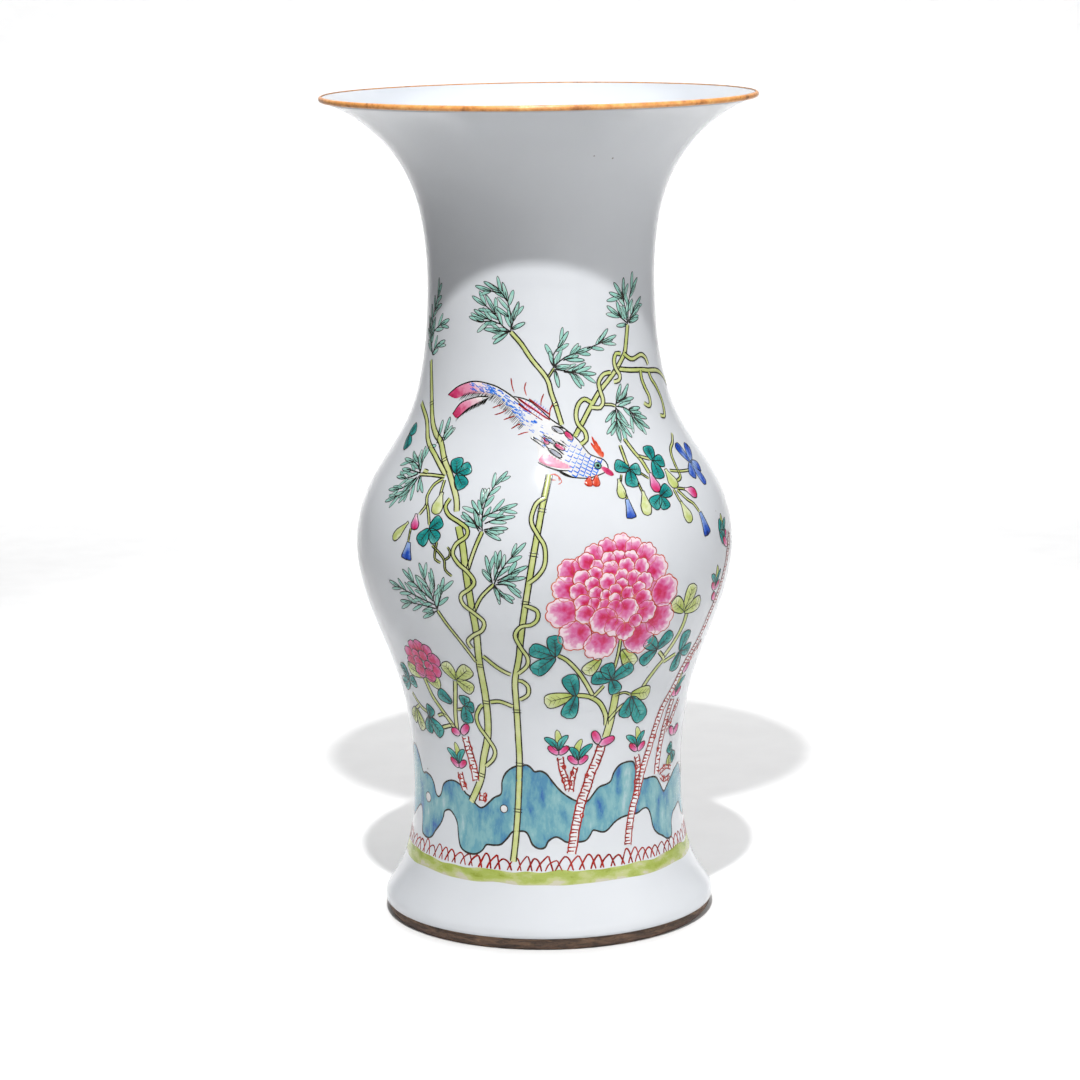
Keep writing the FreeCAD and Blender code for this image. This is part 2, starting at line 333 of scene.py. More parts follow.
ink = enamel("ink_line", ((0.0, (22, 20, 18)), (0.7, (52, 47, 40)), (1.0, (96, 88, 70))), 300.0)
iron_red = enamel("iron_red", ((0.0, (132, 22, 18)), (0.5, (170, 42, 32)), (1.0, (206, 96, 78))), 260.0)
cane_green = enamel("cane_green", (
    (0.0, (156, 176, 72)), (0.4, (190, 201, 118)), (0.8, (212, 217, 158)), (1.0, (226, 228, 192))), 80.0)
spray_green = enamel("spray_green", (
    (0.0, (104, 162, 148)), (0.5, (154, 208, 194)), (1.0, (200, 222, 214))), 240.0)
deep_green = enamel("deep_green", (
    (0.0, (6, 92, 96)), (0.45, (34, 150, 146)), (1.0, (116, 198, 190))), 130.0, 0.45)
pale_leaf = enamel("pale_leaf", (
    (0.0, (150, 172, 56)), (0.5, (196, 208, 124)), (1.0, (224, 230, 186))), 140.0, 0.4)
petal_pink = enamel("petal_pink", (
    (0.0, (202, 34, 80)), (0.2, (212, 56, 114)), (0.46, (218, 98, 156)), (0.74, (229, 150, 190)),
    (1.0, (246, 222, 230))), 190.0, 0.22)
petal_edge = enamel("petal_edge", (
    (0.0, (170, 44, 34)), (0.6, (206, 84, 60)), (1.0, (226, 150, 120))), 200.0)
petal_blue = enamel("petal_blue", (
    (0.0, (10, 18, 84)), (0.4, (40, 84, 190)), (1.0, (156, 184, 232))), 160.0, 0.4)
white_enamel = enamel("white_enamel", ((0.0, (214, 212, 210)), (1.0, (240, 241, 243))), 60.0)
scale_blue = enamel("scale_blue", ((0.0, (20, 96, 212)), (1.0, (92, 158, 236))), 400.0)
plume_orange = enamel("plume_orange", (
    (0.0, (190, 44, 24)), (0.5, (222, 88, 60)), (1.0, (240, 160, 136))), 300.0)
feather_grey = enamel("feather_grey", (
    (0.0, (92, 94, 108)), (0.5, (168, 172, 184)), (1.0, (214, 216, 222))), 300.0)
feather_rose = enamel("feather_rose", (
    (0.0, (172, 20, 62)), (0.3, (206, 64, 112)), (0.65, (230, 150, 178)), (1.0, (242, 230, 230))), 220.0, 0.2)
grass_green = enamel("grass_green", (
    (0.0, (142, 156, 62)), (0.4, (168, 182, 92)), (0.75, (190, 196, 132)), (1.0, (202, 198, 176))),
    120.0, 0.36, (1.0, 1.0, 2.0))
rock_blue = enamel("rock_blue", (
    (0.0, (52, 100, 168)), (0.2, (80, 138, 172)), (0.45, (108, 164, 178)), (0.7, (132, 180, 186)),
    (1.0, (170, 200, 204))), 105.0, 0.5, (1.7, 1.7, 0.7))


# ---- brushwork: spots are (angle in degrees, height in mm) on the vase ---------------
def between(a, b, share):
    """Spot part of the way from a to b."""
    return a[0] + (b[0] - a[0]) * share, a[1] + (b[1] - a[1]) * share


def spread(a, b):
    """Distance in mm over the surface between two near spots."""
    middle = 0.5 * (a[1] + b[1])
    across = math.radians(b[0] - a[0]) * skin.turned(middle)
    return math.hypot(across, (b[1] - a[1]) * skin.stretch(middle))


def aside(spot, way, left, ahead=0.0):
    """Spot moved by mm to the left of a direction and along it."""
    x, y = way
    return skin.shift(*spot, x * ahead - y * left, y * ahead + x * left)


def ring(middle, across, tall, count):
    """Closed outline round a spot, with its half sizes in mm."""
    turns = (TURN * i / count for i in range(count))
    return [skin.shift(*middle, across * math.cos(a), tall * math.sin(a)) for a in turns]


def curve(stations, step=1.6, closed=False):
    """Smooth path through (angle, height) stations, with spots about step mm apart."""
    count = len(stations)
    path = []
    for i in range(count if closed else count - 1):
        if closed:
            near = [stations[(i + k) % count] for k in (-1, 0, 1, 2)]
        else:
            near = [stations[min(max(i + k, 0), count - 1)] for k in (-1, 0, 1, 2)]
        steps = max(1, round(spread(near[1], near[2]) / step))
        path += [tuple(smooth(*values, k / steps) for values in zip(*near)) for k in range(steps)]
    if not closed:
        path.append(tuple(stations[-1]))
    return path


def heading(path, i, closed=False):
    """Unit direction in mm (across, up the surface) of a path at a spot."""
    count = len(path)
    ahead = path[(i + 1) % count] if closed else path[min(i + 1, count - 1)]
    behind = path[i - 1] if closed or i else path[0]
    across = math.radians(ahead[0] - behind[0]) * skin.turned(path[i][1])
    along = (ahead[1] - behind[1]) * skin.stretch(path[i][1])
    size = math.hypot(across, along) or 1.0
    return across / size, along / size


def beside(path, offset):
    """Path moved to its left by mm."""
    return [aside(spot, heading(path, i), offset) for i, spot in enumerate(path)]


def pear(t):
    """Narrow neck that swells to a rounded end."""
    return (0.3 + 0.7 * min(1.0, max(0.0, 2.4 * t - 0.4))) * math.sqrt(1.0 - max(0.0, 3.0 * t - 2.0) ** 2)


FORMS = {                # half width along a blade, from base to tip
    "leaf": lambda t: math.sin(math.pi * t) ** 0.62,
    "lobe": lambda t: 1.42 * t ** 0.6 * math.sqrt(1.0 - t ** 4),
    "pod": lambda t: math.sqrt(math.sin(math.pi * t)),
    "pear": pear,
    "trumpet": lambda t: (0.3 + 0.75 * t ** 1.4) * (1.0 - t ** 16) ** 0.5,
}


class Paint:
    """Enamel laid on the vase as one object, with the brush load kept at every vertex."""

    UNDER = -0.03       # mm, edges of strokes lie just under the glaze
    BODY = 0.09         # mm, thickness of a stroke
    EDGE_OVER = 0.07    # mm, drawn edges lie this far over their fill
    RIB_OVER = 0.12     # mm, and midribs this far
    BROAD = 1.4         # mm, strokes wider than this get a rounded section
    ROUND = ((1.0, 0.0), (0.72, 0.75), (0.0, 1.0), (-0.72, 0.75), (-1.0, 0.0))
    THIN = ((1.0, 0.0), (0.0, 1.0), (-1.0, 0.0))

    def __init__(self, name, slot_name, mirrored=False):
        self.name, self.slot_name, self.mirrored = name, slot_name, mirrored
        self.verts, self.faces, self.kinds, self.shades, self.materials = [], [], [], [], []

    def spot(self, angle, height, lift, shade):
        self.verts.append(skin.point(-angle if self.mirrored else angle, height, lift))
        self.shades.append(shade)
        return len(self.verts) - 1

    def face(self, corners, kind):
        self.faces.append(corners[::-1] if self.mirrored else corners)
        self.kinds.append(kind)

    def quads(self, rows, material, closed=False):
        """Faces between rows of vertex numbers; each row runs left to right."""
        if material not in self.materials:
            self.materials.append(material)
        kind = self.materials.index(material)
        for a, b in zip(rows, rows[1:] + rows[:1] if closed else rows[1:]):
            for i in range(len(a) - 1):
                self.face((a[i], a[i + 1], b[i + 1], b[i]), kind)
        return kind

    def stroke(self, path, width, material, level=0.0, ends=(0.5, 0.3), shade=(0.5, 0.5), closed=False):
        """Raised line; width in mm at both ends, level in mm above the glaze."""
        start, end = width if isinstance(width, tuple) else (width, width)
        low = self.UNDER if level < 0.08 else level - 0.02
        rise = level + self.BODY - low
        broad = max(start, end) > self.BROAD
        rows = []
        last = len(path) - 1
        for i, (angle, height) in enumerate(path):
            t = i / max(last, 1)
            way = heading(path, i, closed)
            half = 0.5 * (start + (end - start) * t)
            half *= 1.0 + 0.22 * noise.noise(Vector((angle * 0.9, height * 0.45, start)))
            if not closed and i in (0, last):
                half *= ends[0 if i == 0 else 1]
            tone = shade[0] + (shade[1] - shade[0]) * t
            rows.append([self.spot(*aside((angle, height), way, half * u), low + rise * up,
                                   tone + (0.5 * up - 0.35 if broad else 0.0))
                         for u, up in (self.ROUND if broad else self.THIN)])
        self.quads(rows, material, closed)

    def line(self, stations, width, material, level=0.0, step=1.6, **more):
        self.stroke(curve(stations, step), width, material, level, **more)

    def band(self, left, right, material, level=0.0, shade=None, parts=(0.0, 0.08, 0.5, 0.92, 1.0)):
        """Fill between two paths of equal length, domed a little."""
        rows = []
        last = len(left) - 1
        for i, (a, b) in enumerate(zip(left, right)):
            row = []
            for u in parts:
                lift = self.UNDER if u in (0.0, 1.0) else level + self.BODY * (0.8 + 0.8 * u * (1.0 - u))
                row.append(self.spot(*between(a, b, u), lift, shade(i / last, u) if shade else 0.5))
            rows.append(row)
        self.quads(rows, material)

    def patch(self, outline, material, level=0.0, shade=None, rings=(1.0, 0.94, 0.62, 0.3, 0.04)):
        """Domed fill of a rounded outline; shade gets the ring share and the spot."""
        middle = [sum(spot[k] for spot in outline) / len(outline) for k in (0, 1)]
        area = sum(a[0] * b[1] - b[0] * a[1] for a, b in zip(outline, outline[1:] + outline[:1]))
        columns = []
        for spot in outline[::-1] if area < 0 else outline:
            column = []
            for f in rings:
                where = between(middle, spot, f)
                lift = self.UNDER if f == 1.0 else level + self.BODY * (1.15 - 0.35 * f * f)
                column.append(self.spot(*where, lift, shade(f, where) if shade else 0.5))
            columns.append(column)
        kind = self.quads([column[::-1] for column in columns], material, closed=True)
        self.face(tuple(column[-1] for column in columns), kind)

    def blade(self, base, tip, width, form, fill, line=ink, level=0.0, shade=(0.2, 0.8), bend=0.0,
              rib=0.0, outline=0.6):
        """Leaf, petal or pod from base to tip, with its drawn edge and midrib."""
        middle = aside(between(base, tip, 0.5), heading([base, tip], 0), bend)
        spine = curve([base, middle, tip], spread(base, tip) / (12.0 if width > 4.5 else 8.0))
        last = len(spine) - 1
        left, right = [], []
        for i, spot in enumerate(spine):
            half = 0.5 * width * max(FORMS[form](i / last), 0.04)
            left.append(aside(spot, heading(spine, i), half))
            right.append(aside(spot, heading(spine, i), -half))

        def load(t, u):
            return shade[0] + (shade[1] - shade[0]) * t + 0.5 * abs(u - 0.5) - 0.1

        self.band(left, right, fill, level, load)
        if line:
            rim = left + right[::-1]
            self.stroke(rim, outline, line, level + self.EDGE_OVER, shade=(0.1, 0.5), closed=True)
        if rib:
            midrib = spine[:int(last * rib) + 1]
            self.stroke(midrib, (0.6, 0.4), line, level + self.RIB_OVER, shade=(0.2, 0.5))

    def finish(self, *replaced):
        obj = new_object(self.name, self.verts, self.faces, self.materials)
        obj.data.polygons.foreach_set("material_index", self.kinds)
        obj.data.attributes.new("shade", "FLOAT", "POINT").data.foreach_set("value", self.shades)
        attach(obj, "root")
        if replaced:
            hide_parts(*replaced)


def cane(paint, stations, width, knots=(), level=0.02):
    """Green stem with a drawn line down both sides and paired lines at its knots."""
    path = curve(stations)
    start, end = width if isinstance(width, tuple) else (width, width)
    paint.stroke(path, (start, end), cane_green, level, ends=(0.8, 0.8), shade=(0.35, 0.6))
    for side in (0.46, -0.46):
        edge = beside(path, side * 0.5 * (start + end))
        paint.stroke(edge, 0.72, ink, level + paint.EDGE_OVER, shade=(0.1, 0.55))
    for height in knots:
        i = min(range(len(path)), key=lambda k: abs(path[k][1] - height))
        way = heading(path, i)
        for step in (-0.8, 0.8):
            middle = aside(path[i], way, 0.0, step)
            knot = [aside(middle, way, u) for u in (0.6 * end, 0.0, -0.6 * end)]
            paint.stroke(knot, 0.62, ink, level + 0.1, shade=(0.0, 0.3))


def spray(paint, twigs, rng, length=10.2, width=2.1):
    """Twigs set with narrow leaves on both sides and one at the tip."""
    for twig in twigs:
        path = curve(twig, 1.0)
        reach = sum(spread(a, b) for a, b in zip(path, path[1:]))
        paint.stroke(path[:max(2, len(path) - 5)], (0.8, 0.5), ink, 0.13, shade=(0.1, 0.5))
        along, side = 0.0, rng.choice((-1, 1))
        due = 1.5
        for i in range(len(path) - 1):
            if along >= due and along < reach - 0.75 * length:
                lean = math.radians(rng.uniform(22.0, 34.0)) * side
                size = length * rng.uniform(0.72, 1.0)
                tip = aside(path[i], heading(path, i), math.sin(lean) * size, math.cos(lean) * size)
                paint.blade(path[i], tip, width * rng.uniform(0.8, 1.1), "leaf", spray_green,
                            shade=(rng.uniform(0.2, 0.6), rng.uniform(0.4, 0.9)), level=0.01 * rng.random(),
                            outline=0.5)
                side, due = -side, along + rng.uniform(2.7, 4.1)
            along += spread(path[i], path[i + 1])
        base = max(0, len(path) - 1 - round(length))
        paint.blade(path[base], path[-1], width, "leaf", spray_green, shade=(0.3, 0.7), level=0.02,
                    outline=0.5)


def trefoils(paint, groups, fill, level):
    """Groups of broad leaves round a centre, each with a midrib and curved side veins."""
    shade = (0.15, 0.6) if fill is deep_green else (0.1, 0.9)
    for centre, *tips in groups:
        for tip in tips:
            length = spread(centre, tip)
            width = 0.25 * length + 5.2
            paint.blade(centre, tip, width, "lobe", fill, shade=shade, level=level, rib=0.75)
            way = heading([centre, tip], 0)
            for at in (0.42, 0.6, 0.76):
                root = aside(centre, way, 0.0, length * at)
                for side in (-1, 1):
                    end = aside(root, way, side * width * 0.3, length * 0.14)
                    paint.stroke([root, end], (0.55, 0.35), ink, level + paint.RIB_OVER, shade=(0.2, 0.5))


def shoot(paint, foot, lean):
    """Low shoot: two dark leaves, a pale bud between them and a pair of rosy scales."""
    def at(x, y):
        return skin.shift(*foot, x, y)
    wide = 3.6
    paint.blade(at(0, 0), at(lean, 12.0), wide, "leaf", pale_leaf, shade=(0.0, 0.7), bend=0.8 * lean)
    for side, x, y in ((-1, -6.4, 7.6), (1, 6.0, 8.6)):
        paint.blade(at(0.3 * side, 0), at(x + lean, y), wide, "leaf", deep_green, level=0.02,
                    bend=1.2 * side, rib=0.7)
    for x, y in ((-5.4, 2.6), (5.6, 2.2)):
        paint.blade(at(0.3, -2.0), at(x, y), wide, "pod", petal_pink, level=0.04, shade=(0.9, 0.0))


def trunk(paint, stations, width, rng, gap=1.5):
    """Woody stem left white, drawn with red edges, short hatching and a few knots."""
    path = curve(stations, 1.0)
    half = 0.25 * (width[0] + width[1])
    paint.stroke(path, width, white_enamel, 0.1, ends=(0.9, 0.9))
    for side in (1, -1):
        edge = [skin.shift(*spot, rng.uniform(-0.22, 0.22), 0.0) for spot in beside(path, side * half)]
        paint.stroke(edge, (0.95, 0.8), iron_red, 0.17, shade=(0.1, 0.4))
    due, along = 1.0, 0.0
    for i in range(len(path) - 1):
        if along >= due:
            way = heading(path, i)
            side = rng.choice((-1, -1, -1, 1))
            reach = half * rng.uniform(0.1, 0.8)
            droop = rng.uniform(0.1, 0.9)
            hatch = [aside(path[i], way, half * side), aside(path[i], way, -reach * side, -droop)]
            paint.stroke(hatch, (1.1, 0.85), iron_red, 0.2, ends=(0.9, 0.7),
                         shade=(0.4 * rng.random(), 0.6 * rng.random()))
            due = along + gap * rng.uniform(0.7, 1.35)
        along += spread(path[i], path[i + 1])
    for share in (0.3, 0.66):
        i = int(share * len(path))
        knot = aside(path[i], heading(path, i), rng.choice((-1, 1)) * half * 0.84)
        outline = [skin.shift(*knot, 0.9 * math.cos(a), 1.3 * math.sin(a)) for a in (0.0, 1.3, 2.5, 3.8, 5.0)]
        paint.stroke(curve(outline, 0.8, True), 0.8, iron_red, 0.2, closed=True)


# ---- canes, vines and sprays ----------------------------------------------------------
# A cane is its stations, its width at both ends and the heights of its knots.
CANES_LEFT = (
    (((-158, 310), (-150, 290), (-145, 280), (-140, 274), (-135, 270), (-130, 262), (-125, 255),
     (-120, 245), (-118.5, 238)), (3.0, 3.8), (288, 262)),
    (((-160, 287), (-150, 280), (-143, 270), (-135, 263), (-127, 255)), (3.0, 2.8), ()),
    (((-127, 254), (-133, 254), (-139, 253.4)), (2.0, 1.6), ()),
    (((-117, 231), (-115, 222), (-114, 213), (-113, 200), (-112.5, 190), (-112, 175), (-113, 155),
     (-113, 135), (-114, 115), (-117, 100), (-119, 88), (-124, 75)), (4.4, 3.8), (155, 134, 91)),
    (((-109, 229), (-111, 220), (-113, 209)), (1.8, 2.6), ()),
    (((-105, 202), (-109, 195), (-112, 186)), (1.6, 2.4), ()),
    (((-124.5, 185), (-122, 178), (-118, 168), (-114, 157)), (1.6, 2.2), ()),
)
CANES_CENTRE = (
    (((-88, 257), (-90, 245), (-91, 238), (-93, 220), (-94, 210), (-95, 200), (-96, 190), (-98, 170),
     (-99, 160), (-101, 147), (-101.3, 135), (-101.4, 115), (-101.4, 100), (-102.5, 75), (-103.4, 60),
     (-104.5, 45)), (2.6, 4.2), (240, 217, 192, 130, 99, 73)),
    (((-105, 329), (-100, 323), (-95, 315), (-88, 305), (-86, 297), (-84, 290), (-82, 281)), (2.0, 3.0),
     (291,)),
    (((-84.5, 310), (-87.5, 305)), (1.0, 1.4), ()),
)
CANES_RIGHT = (
    (((-77, 275), (-74, 280), (-68, 290), (-63, 297), (-58, 302), (-53, 307), (-48, 313), (-46, 316),
     (-44.5, 322), (-43, 330)), (3.0, 2.4), (307,)),
    (((-52, 307.5), (-44, 306), (-35, 305), (-30, 304), (-20, 302.5), (-12, 299), (-4, 293)), (2.2, 3.0),
     ()),
    (((-62, 290), (-58, 289.5), (-56, 288.5)), (1.6, 1.2), ()),
)
VINES_LEFT = (
    ((-122, 244), (-123, 240), (-121, 236), (-117, 233), (-114, 230), (-114, 226), (-117, 222),
     (-118, 217), (-116, 212), (-113, 208), (-111, 203), (-112.5, 199), (-115.5, 195), (-115, 190),
     (-112, 186), (-109, 181), (-110, 176), (-113, 173), (-115.5, 169), (-114.5, 165)),
    ((-111.2, 161), (-107, 155), (-104, 152), (-102.2, 150.8)),
    ((-114.7, 131.8), (-115.8, 130.4), (-118, 125), (-117.5, 119), (-114, 112), (-111.5, 106),
     (-112.5, 101), (-116, 96.5)),
    ((-111.3, 133.8), (-107.5, 134.5), (-102.6, 132)), ((-135.5, 255), (-138, 255.5)),
)
VINES_CENTRE = (
    ((-89.6, 246), (-92.5, 243), (-94, 235), (-92, 228), (-90, 222), (-90, 213), (-92, 207), (-94.8, 203)),
    ((-96, 191), (-92.5, 188), (-92.5, 183), (-94.5, 180), (-97.5, 179), (-99.5, 174), (-98, 167),
     (-96, 161), (-96.5, 156), (-99.6, 151.5)),
    ((-99.7, 147.4), (-98.5, 147), (-96.5, 144), (-96.8, 139), (-99.9, 136)),
)
VINES_RIGHT = (
    ((-47, 315), (-44, 312.5), (-41, 311.5), (-35, 313), (-32, 312), (-30, 310), (-29, 307)),
    ((-36.5, 305), (-36.5, 300), (-35, 295), (-33.5, 291), (-34, 287), (-36, 286), (-38.5, 288)),
    ((-29.5, 303), (-28, 299), (-25, 295), (-23, 290), (-22.5, 286), (-24, 281), (-26, 279), (-29, 280)),
    ((-56, 306), (-60, 305.5), (-63, 302), (-63, 298), (-62, 293), (-62.5, 290), (-64, 288.5), (-68, 289)),
    ((-49, 315), (-52, 315.5), (-53.5, 312), (-53, 308), (-51, 304), (-52, 301.5), (-55, 301)),
    ((-68, 291.5), (-71, 293.5), (-74, 291), (-75.5, 286), (-75, 281), (-72.5, 277), (-72.5, 273),
     (-75, 271)),
)
SPRAYS_LEFT = (
    ((-157, 313), (-161, 325), (-157, 338), (-149, 352)), ((-160, 322), (-155, 327), (-142, 333.5)),
    ((-158, 336), (-153, 339), (-149, 341)), ((-157, 314), (-152, 319), (-145, 322)),
    ((-157, 313), (-162, 320), (-166, 333)), ((-157, 313), (-154, 314), (-151, 317)),
    ((-124.5, 185), (-126, 194), (-128, 202), (-130, 210)), ((-125.5, 191), (-124.5, 199), (-125.5, 208)),
    ((-125.5, 190), (-131, 197), (-137, 205)), ((-125, 188), (-133, 192), (-144, 197)),
    ((-125, 186), (-131, 187), (-140, 187)), ((-124.5, 185), (-128, 182), (-131, 179.5)),
    ((-124.5, 186), (-122.5, 194), (-121, 204)), ((-139, 254), (-144, 258), (-153, 259)),
    ((-140, 255), (-144, 260), (-149, 262.5)), ((-139.5, 255), (-141.5, 261), (-143, 267)),
    ((-139, 254), (-146, 254.5), (-151, 254)), ((-140, 253.5), (-145, 250.5), (-152, 250)),
    ((-140, 252), (-145, 245.5), (-153, 243)), ((-140, 252), (-144, 243), (-152, 237)),
    ((-139, 253), (-140.5, 246), (-144, 238)), ((-138.5, 253), (-138, 249), (-136.5, 245)),
    ((-137, 269), (-138, 275), (-138, 281)), ((-135, 270), (-134.5, 277), (-134, 283)),
    ((-134, 271), (-133, 275), (-130.5, 278)), ((-137, 268), (-138.5, 269), (-140.5, 267)),
    ((-109, 229), (-109.5, 240), (-107.5, 250), (-103, 258.5)),
    ((-109.5, 236), (-105, 239.5), (-98.5, 243)), ((-108.5, 233), (-104, 236), (-99, 237)),
    ((-108.5, 230), (-105, 231), (-101, 231)), ((-108.5, 229.5), (-106, 227.5), (-103, 225)),
    ((-109.5, 230), (-112, 234), (-112.5, 239.5)), ((-110.5, 237), (-113, 241), (-114, 244)),
    ((-110, 240), (-110.5, 245), (-111, 250)), ((-110, 229), (-113, 235), (-116.5, 238)),
    ((-105, 202), (-103, 209), (-100, 216), (-95.5, 224)), ((-105, 204), (-103.5, 212), (-103, 220)),
    ((-105.5, 203), (-106.5, 211), (-107.5, 217)), ((-104, 204), (-100, 208), (-95, 212)),
    ((-104, 203), (-100, 205), (-95.5, 206)), ((-104.5, 202), (-100, 201.5), (-97, 195)),
    ((-105, 201.5), (-103, 197), (-99.5, 192)), ((-105, 202), (-104.5, 198), (-103.5, 193)),
    ((-105.5, 203), (-107, 206), (-108.5, 209)),
)
SPRAYS_CENTRE = (
    ((-105, 329), (-105, 337), (-106.5, 345), (-109, 355)), ((-106.5, 345), (-112, 352), (-119, 355)),
    ((-109, 349), (-116, 350.5), (-124, 352.5)), ((-105, 329), (-110, 333), (-114, 341), (-118, 348)),
    ((-113, 338), (-119, 343), (-126, 347)), ((-110, 333), (-117, 335.5), (-125, 340)),
    ((-114, 334.5), (-121, 334), (-128, 336)), ((-105, 329), (-111, 329.5), (-119, 330)),
    ((-106, 329), (-110, 326.5), (-114, 322.5)), ((-105, 330), (-103.5, 336), (-101, 345)),
    ((-104.5, 330.5), (-102, 332), (-98, 334)), ((-106, 337), (-110, 340), (-113, 342)),
    ((-84.5, 310), (-84.5, 317), (-81, 322), (-77, 329)),
    ((-84.5, 311), (-79, 315.5), (-72, 318), (-65, 320)), ((-68, 319.3), (-60, 322), (-51, 325)),
    ((-62, 321.5), (-58, 325), (-56, 329)), ((-84, 310.5), (-80, 311), (-76.5, 311)),
    ((-80, 314), (-75, 315), (-69.5, 313.5)), ((-84, 309.5), (-77, 308), (-71, 306.5), (-64, 306)),
    ((-80, 308), (-74, 306), (-72, 299)), ((-84, 309), (-83, 305), (-82.5, 300)),
    ((-84.5, 311), (-86, 314), (-86.5, 319)), ((-76, 308), (-72.5, 309.5), (-69, 312)),
)
SPRAYS_RIGHT = (
    ((-43, 330), (-44, 338), (-46.5, 346), (-51.5, 353)), ((-45, 342), (-45.5, 349), (-45, 355)),
    ((-46, 344), (-50, 346), (-54.5, 348)), ((-43.5, 331), (-48, 334.5), (-56, 341)),
    ((-47, 334), (-49, 338), (-50, 343)), ((-43.5, 330), (-47, 330), (-50.5, 330)),
    ((-42.5, 331), (-42, 338), (-40, 346), (-34, 354)), ((-41.5, 333), (-37, 338), (-31, 343.5)),
    ((-42, 332), (-38, 334.5), (-32, 339)), ((-42, 331), (-38, 331.5), (-34, 332.5)),
    ((-56, 288.5), (-54, 293), (-51, 299.5)), ((-54, 291), (-49, 293), (-46.5, 299)),
    ((-55, 290), (-50, 291.5), (-44.5, 291.5)), ((-56, 288.5), (-51, 287), (-46, 283), (-39.5, 280)),
    ((-49, 286), (-45, 286.5), (-42, 286)), ((-48, 284.5), (-45, 279), (-40, 275)),
    ((-49, 284.5), (-47.5, 280), (-44.5, 274)), ((-56, 288), (-54, 283), (-51.5, 278)),
    ((-56, 288), (-57, 280), (-57.5, 271)), ((-56.5, 283), (-54, 277), (-51.5, 272)),
    ((-57, 281), (-59.5, 277), (-63, 275)), ((-56.5, 286.5), (-59.5, 284), (-62.5, 281)),
)


def paint_canes(side, mirrored):
    rng = random.Random(5 + mirrored)
    canes = Paint("canes_" + side, "grass_enamel", mirrored)
    for stations, width, knots in CANES_LEFT + CANES_CENTRE + CANES_RIGHT:
        cane(canes, stations, width, knots, level=0.06)
    canes.finish()
    vines = Paint("vines_" + side, "grass_enamel", mirrored)
    for stations in VINES_LEFT + VINES_CENTRE + VINES_RIGHT:
        cane(vines, stations, 2.3, level=0.16)
    vines.finish()
    for part, twigs in (("left", SPRAYS_LEFT), ("centre", SPRAYS_CENTRE), ("right", SPRAYS_RIGHT)):
        leaves = Paint("sprays_" + part + "_" + side, "grass_enamel", mirrored)
        spray(leaves, twigs, rng)
        leaves.finish()


# ---- rocks and grass -----------------------------------------------------------------
# A hole is its angle, height, half width and half height.
ROCK_TOP = (
    (-178, 88), (-171, 95), (-165, 97), (-161, 93), (-157, 84), (-153.5, 84.5), (-149.5, 83.5), (-147, 80),
    (-145.6, 75), (-143.5, 73.5), (-141.5, 76), (-140, 81), (-137, 84), (-133, 85), (-129, 83),
    (-127, 79.5), (-124, 77.5), (-122, 74.5), (-119.5, 72.6), (-117, 74), (-113, 79), (-109.6, 81.8),
    (-109, 89), (-107, 94), (-104, 97), (-101, 98), (-98.5, 98.5), (-96.8, 97), (-95.3, 94.8), (-93, 95.2),
    (-90.5, 93.5), (-88, 89), (-84.5, 83.5), (-80, 79), (-76, 77), (-73, 77.5), (-70, 82), (-68, 84.5),
    (-65, 85.5), (-62.8, 87), (-61.4, 91.5), (-59, 95), (-55.5, 96.2), (-52, 95.5), (-50.8, 92),
    (-48.5, 86.5), (-45, 84.3), (-41, 84.3), (-37.5, 83), (-34.5, 78.5), (-31.5, 73.5), (-28.5, 76),
    (-24, 80), (-20, 83), (-14, 84), (-9, 78), (-5, 76), (-1, 80),
)
ROCK_FOOT = (
    (-178, 57), (-172, 55), (-166, 60), (-162, 63.5), (-159, 64), (-157.6, 59), (-156.7, 51), (-154, 49),
    (-150.5, 48.7), (-147.5, 50.5), (-145.5, 54), (-142, 59), (-140.4, 63), (-139.5, 66.5), (-136.5, 68.2),
    (-134, 66.5), (-131.5, 62), (-130.5, 55), (-129, 49.5), (-126, 47.2), (-122.5, 46.8), (-120, 47.8),
    (-118, 50), (-116.5, 52.8), (-113, 53), (-110, 53.8), (-107.5, 57), (-105, 61), (-102, 61.6),
    (-99.5, 61.4), (-98, 59), (-96.5, 54.5), (-94, 52.4), (-91.5, 53), (-90, 56.5), (-87, 58.6),
    (-84.8, 57.5), (-82.5, 55.6), (-78, 55.3), (-74.5, 55.8), (-72.5, 58.5), (-71, 61), (-67, 59.4),
    (-64.5, 60.3), (-61, 64), (-57, 66), (-52, 66.3), (-49, 66.5), (-46, 68), (-43.5, 67.6), (-41.5, 64),
    (-40, 56), (-37.5, 52), (-34, 49.5), (-31, 47), (-28, 46.8), (-26.3, 48.5), (-25.2, 55), (-23, 59),
    (-20, 60.5), (-14, 62), (-10, 55), (-5, 52), (-1, 55),
)
ROCK_HOLES = ((-152, 71, 2.9, 2.7), (-108.6, 73.4, 2.0, 2.1))


def all_round(stations):
    """Path through the front stations and their mirror at the back, in order of angle."""
    return curve(stations + tuple((-angle, height) for angle, height in reversed(stations)), 1.0)


def at_angle(path, angle):
    """Height of a path at an angle."""
    for a, b in zip(path, path[1:]):
        if a[0] <= angle <= b[0]:
            return a[1] + (b[1] - a[1]) * (angle - a[0]) / max(b[0] - a[0], 1e-6)
    return path[0][1]


def even_steps(path):
    """Spots of an all-round path at every half degree, closed on itself at the back."""
    start = path[0][0]
    angles = [start + 0.5 * i for i in range(round(-4.0 * start) + 1)]
    return [(a, at_angle(path, a)) for a in angles] + [(360.0 + start, path[0][1])]


